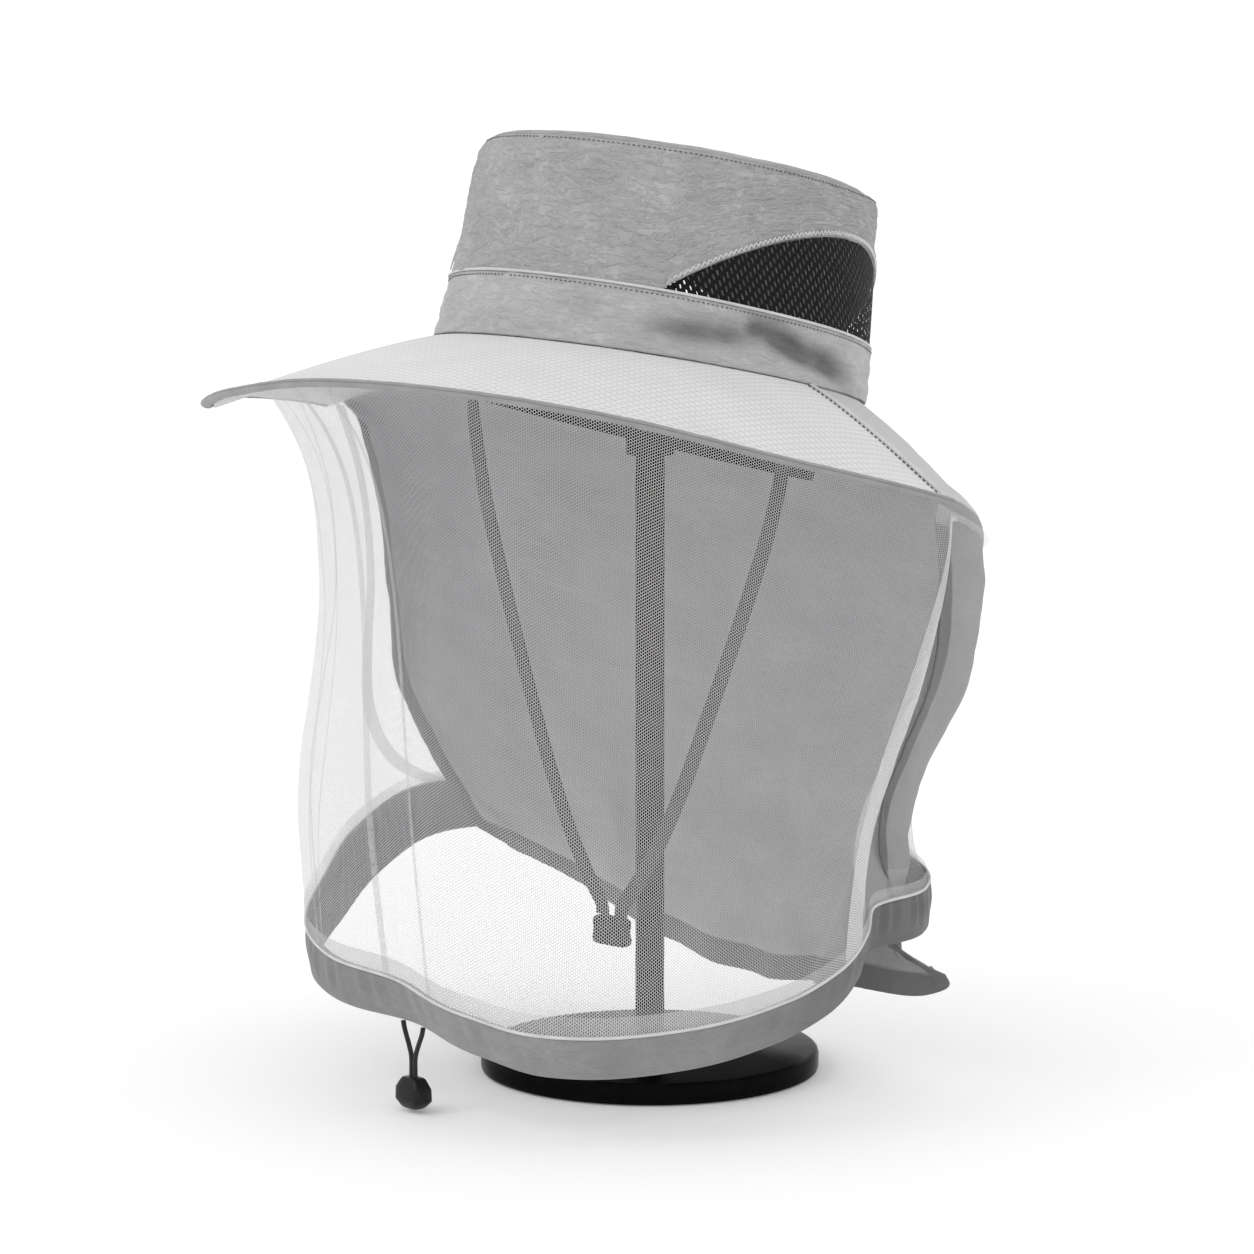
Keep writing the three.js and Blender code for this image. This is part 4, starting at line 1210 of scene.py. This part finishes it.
def insect_net():
    azimuth = np.linspace(-180, 180, 540, endpoint=False)[:, None]
    share = np.linspace(0, 1, 120)[None] ** 1.15
    gather = np.clip(1 - share / 0.35, 0, 1) ** 1.5
    turn = np.radians(azimuth)
    ruffle = NET_RUFFLE * gathers(turn, 3, 5, 2) * gather * (share > 0)
    soft = rough(turn * MOUTH_REACH * 1.2, share * NET_DROP, 0.03, 0.16, 41.0, 3)
    swells = NET_SWELL * soft * np.sin(np.pi * share) * (1 - under_flap(azimuth))
    grid = net_point(azimuth, share, ruffle + swells - net_close(azimuth, share))
    across = np.radians(azimuth[:, 0]) * MOUTH_REACH * 1.1
    made = sheet_of(
        "net_cloth", grid, net_single, ["net"], closed=True,
        size=(across, arc(grid, 1)),
    )
    foot = np.linspace(NET_HEM, 1, 8)[None]
    band = net_point(azimuth, foot, 0.0006)
    hem = sheet_of(
        "net_foot_hem", band, net_double, closed=True, size=(across, arc(band, 1)),
    )
    strips = [net_strip(row) for row in STRIPS]


CASING_OVER = 0.0014
CASING_PLEAT = 0.0009


def net_casing():
    azimuth = np.linspace(-180, 180, 600, endpoint=False)
    tuck = CASING_TUCK * between(MOUTH_LAPS, "at", "tuck", azimuth)
    top = net_reach(azimuth, np.ones_like(azimuth))
    mouth = mouth_height(azimuth)
    turn = np.radians(azimuth)
    pleat = CASING_PLEAT * gathers(turn, 4, 3, 1)
    columns = []
    for share, out, inward in casing_profile():
        fades = 1 if inward < 0.5 else 0.3
        gathered = pleat * math.sin(math.pi * min(share * 1.15 + 0.1, 1)) * fades
        reach = top - tuck * share + 0.0004 + out - CASING_WALL * inward + gathered
        height = mouth + CASING_OVER - (CASING_TALL + CASING_OVER) * share
        columns.append(from_axis(azimuth, reach, height))
    grid = np.stack(columns, 1)
    made = sheet_of(
        "casing_cloth", grid, casing_nylon, ["net_casing"], closed=True, tube=True,
    )
    # Painted shade on the casing: darker towards both sides by azimuth, most on the wearer's left
    shaded = 0.4 * np.clip(-azimuth / 40, 0, 1) + 0.8 * np.clip((azimuth - 55) / 30, 0, 1)
    mark(made, "dent_and_painted_shade", shaded[:, None] + np.zeros(grid.shape[:2]))
    line = from_axis(azimuth, top + 0.0007, mouth + CASING_OVER)
    upward = np.tile([0.0, 0.0, 1.0], (len(line), 1))
    rings = tube_along(line, upward, ring_section(0.0007, 0.0006, 8))
    sheet_of("casing_piping", rings, pale_thread_and_highlight, closed=True, tube=True)


def casing_profile():
    """The casing's section, down its outside, round its foot and up its inside."""
    outside = [(s, 0.0006 * math.sin(math.pi * s), 0.0) for s in np.linspace(0, 0.94, 10)]
    foot = [(0.985, -0.0003, 0.15), (1.0, 0.0, 0.5), (0.985, 0.0003, 0.85)]
    inside = [(s, -0.0004 * math.sin(math.pi * s), 1.0) for s in np.linspace(0.94, 0, 6)]
    return outside + foot + inside


# Cords, lock and slider


def smooth_line(points, count):
    """A smooth curve through chosen points, resampled evenly."""
    fine = refined(np.array(points, float)[:, None], 24, 0)[:, 0]
    steps = lengths(fine, 0)
    at = np.linspace(0, steps[-1], count)
    return np.stack([np.interp(at, steps, fine[:, k]) for k in range(3)], -1)


def length_of(line):
    return float(lengths(line, 0)[-1])


def chin_strap(side):
    x, y, z = STRAP_TOPS[side]
    foot = SLIDER_PLACE[0] + math.copysign(STRAP_SPREAD, x)
    route = [
        (
            foot + (x - foot) * row["across"],
            y + (SLIDER_PLACE[1] - y) * row["forward"],
            z + (STRAP_END - z) * row["down"],
        )
        for row in STRAPS
    ]
    line = smooth_line(route, 150)
    down = (z - line[:, 2]) / (z - STRAP_END)
    faces = from_axis(between(STRAPS, "down", side, down), 1.0, 0.0)
    across = np.cross(np.gradient(line, axis=0), faces)
    around = np.linspace(0, 2 * np.pi, 16, endpoint=False)
    section = np.stack(
        [
            STRAP_WIDE / 2 * np.sign(np.cos(around)) * np.abs(np.cos(around)) ** 0.6,
            0.0005 * np.sign(np.sin(around)) * np.abs(np.sin(around)) ** 0.6,
        ],
        -1,
    )
    made = capped(
        f"chin_ribbon_{side}", tube_along(line, across, section), strap_tape,
        [f"chin_strap_{side}"],
    )
    return made, line


# The slider and the lock: how high over its foot each section lies, and its shares of the
# whole width and depth
SLIDER_SECTIONS = table(
    "up wide deep",
    (0, 0.8, 0.6),
    (0.0008, 0.93, 0.9),
    (0.0024, 1, 1),
    (0.004, 0.97, 0.86),
    (0.0062, 0.94, 0.8),
    (0.0084, 0.98, 0.9),
    (0.0102, 0.96, 1),
    (0.0114, 0.86, 0.86),
    (0.012, 0.74, 0.6),
)
LOCK_SECTIONS = table(
    "up wide deep",
    (0, 0.52, 0.6),
    (0.0005, 0.62, 0.74),
    (0.0031, 0.97, 0.98),
    (0.0037, 1, 1),
    (0.0082, 0.97, 0.97),
    (0.0088, 0.92, 0.93),
    (0.0119, 0.64, 0.74),
    (0.0125, 0.55, 0.62),
)
SLIDER_CORNER = 0.35
LOCK_CORNER = 0.42


def block(name, node, sections, size, foot, corner, turn=0.0):
    """A moulded block from sections, with rounded corners; a small corner is squarer."""
    around = np.radians(np.linspace(0, 360, 32, endpoint=False))
    cos = np.sign(np.cos(around)) * np.abs(np.cos(around)) ** corner * size[0] / 2
    sin = np.sign(np.sin(around)) * np.abs(np.sin(around)) ** corner * size[1] / 2
    rings = [point(cos * row["wide"], sin * row["deep"], row["up"]) for row in sections]
    c, s = math.cos(turn), math.sin(turn)
    grid = np.stack(rings, 0) @ np.array([[c, s, 0], [-s, c, 0], [0, 0, 1]]) + np.array(foot)
    return capped(name, grid, black_plastic, [node])


def chin_straps():
    x, y, z = SLIDER_PLACE
    foot = (x, y, z - SLIDER_TALL / 2)
    size = (SLIDER_WIDE, SLIDER_DEEP)
    slider = block("slider_body", "chin_slider", SLIDER_SECTIONS, size, foot, SLIDER_CORNER)
    for side in ("left", "right"):
        made, line = chin_strap(side)
        length_of(line)


# How far the strands run on into the lock, as a share of their free length
STRING_INTO = 0.55


def drawstring():
    azimuth = np.array(float(STRING_AZIMUTH))
    tuck = CASING_TUCK * between(MOUTH_LAPS, "at", "tuck", azimuth)
    x, y, _ = from_axis(azimuth, net_reach(azimuth, np.array(1.0)) - tuck - CASING_WALL / 2, 0.0)
    across = from_axis(azimuth + 90, 1.0, 0.0)
    entry = LOCK_LIFT + LOCK_TALL + SEAM_GAP
    turn = math.atan2(across[1], across[0])
    foot = np.array([x, y, LOCK_LIFT])
    lock = block(
        "lock_body", "cord_lock", LOCK_SECTIONS, (LOCK_WIDE, LOCK_DEEP), foot, LOCK_CORNER, turn
    )
    for side, end in ((1, "a"), (-1, "b")):
        own = azimuth_of(foot + side * STRING_SPREAD * across)
        root = float(mouth_height(own)) - CASING_TALL - CASING_GAP
        route = []
        for row in STRANDS + [{"down": 1 + STRING_INTO, "apart": STRANDS[-1]["apart"]}]:
            apart = side * STRING_SPREAD * row["apart"] * across
            route.append((x + apart[0], y + apart[1], root + (entry - root) * row["down"]))
        line = smooth_line(route, 60)
        section = ring_section(STRING_WIDE / 2, STRING_WIDE / 2, 14)
        rings = tube_along(line, np.tile(across, (len(line), 1)), section)
        made = capped(f"drawstring_cord_{end}", rings, cord_braid, [f"drawstring_{end}"])
        length_of(line)


# Stand


def stand():
    radius = FOOT_WIDE / 2
    profile = [
        (0.0005, 0), (radius - 0.0014, 0), (radius - 0.0004, 0.0004), (radius, 0.0014),
        (radius, FOOT_TALL - 0.0022), (radius - 0.0004, FOOT_TALL - 0.001),
        (radius - 0.0012, FOOT_TALL - 0.0003), (radius - 0.0024, FOOT_TALL), (0.0005, FOOT_TALL),
    ]
    turned("foot_disc", profile, dark_lacquer, ["stand_foot"])
    low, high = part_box("stand_post")
    half = POST_WIDE / 2
    profile = [
        (0.0003, low.z), (half, low.z), (half, high.z - 0.0035), (half - 0.0008, high.z - 0.003),
        (0.0003, high.z - 0.003),
    ]
    turned("post_rod", profile, dark_lacquer, ["stand_post"], 48)
    for name in ("stand_ring", "stand_cap"):
        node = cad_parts[name]
        node.data.materials.clear()
        node.data.materials.append(dark_lacquer)


# Room, light and camera

FLOOR_SIZE = 40
FLOOR_DROP = 0.0003
FLOOR_TONE = 0.95
FLOOR_GLOW = 0.1
LAMP_AIM = (0, 0, 0.2)
LAMPS = table(
    "name place size power",
    ("key", (-1.2, -2.4, 2.2), 1.8, 14),
    ("side", (2.4, -0.6, 1.6), 1.5, 2),
)


def room():
    bpy.ops.mesh.primitive_plane_add(size=FLOOR_SIZE, location=(0, 0, -FLOOR_DROP))
    floor = bpy.context.object
    floor.name = "floor"
    paint = Finish("floor_paint", 0.9)
    paint.surface.inputs["Base Color"].default_value = (FLOOR_TONE, FLOOR_TONE, FLOOR_TONE, 1)
    paint.surface.inputs["Emission Color"].default_value = (1, 1, 1, 1)
    paint.surface.inputs["Emission Strength"].default_value = FLOOR_GLOW
    floor.data.materials.append(paint.material)
    world = bpy.data.worlds.new("studio")
    world.use_nodes = True
    world.node_tree.nodes["Background"].inputs["Color"].default_value = (1, 1, 1, 1)
    world.node_tree.nodes["Background"].inputs["Strength"].default_value = 1.0
    bpy.context.scene.world = world
    for row in LAMPS:
        light = bpy.data.lights.new(row["name"], "AREA")
        light.size = row["size"]
        light.energy = row["power"]
        lamp = bpy.data.objects.new(row["name"], light)
        lamp.location = row["place"]
        aim = Vector(LAMP_AIM) - Vector(row["place"])
        lamp.rotation_euler = aim.to_track_quat("-Z", "Y").to_euler()
        bpy.context.scene.collection.objects.link(lamp)


def camera():
    turn = math.radians(CAMERA_AZIMUTH)
    lens = bpy.data.cameras.new("view")
    lens.sensor_width = SENSOR_WIDE
    lens.lens = LENS
    eye = bpy.data.objects.new("view", lens)
    eye.location = (
        CAMERA_DISTANCE * math.sin(turn) + CAMERA_ASIDE * math.cos(turn),
        -CAMERA_DISTANCE * math.cos(turn) + CAMERA_ASIDE * math.sin(turn),
        CAMERA_HEIGHT,
    )
    eye.rotation_euler = (math.radians(90 - CAMERA_PITCH), 0, turn)
    bpy.context.scene.collection.objects.link(eye)
    bpy.context.scene.camera = eye
    bpy.context.scene.view_settings.view_transform = "Standard"


camera()
chin_straps()
drawstring()
crown()
vent(1, "vent_left_knit")
vent(-1, "vent_right_knit")
crown_stitches()
brim()
neck_flap()
insect_net()
net_casing()
stand()
room()
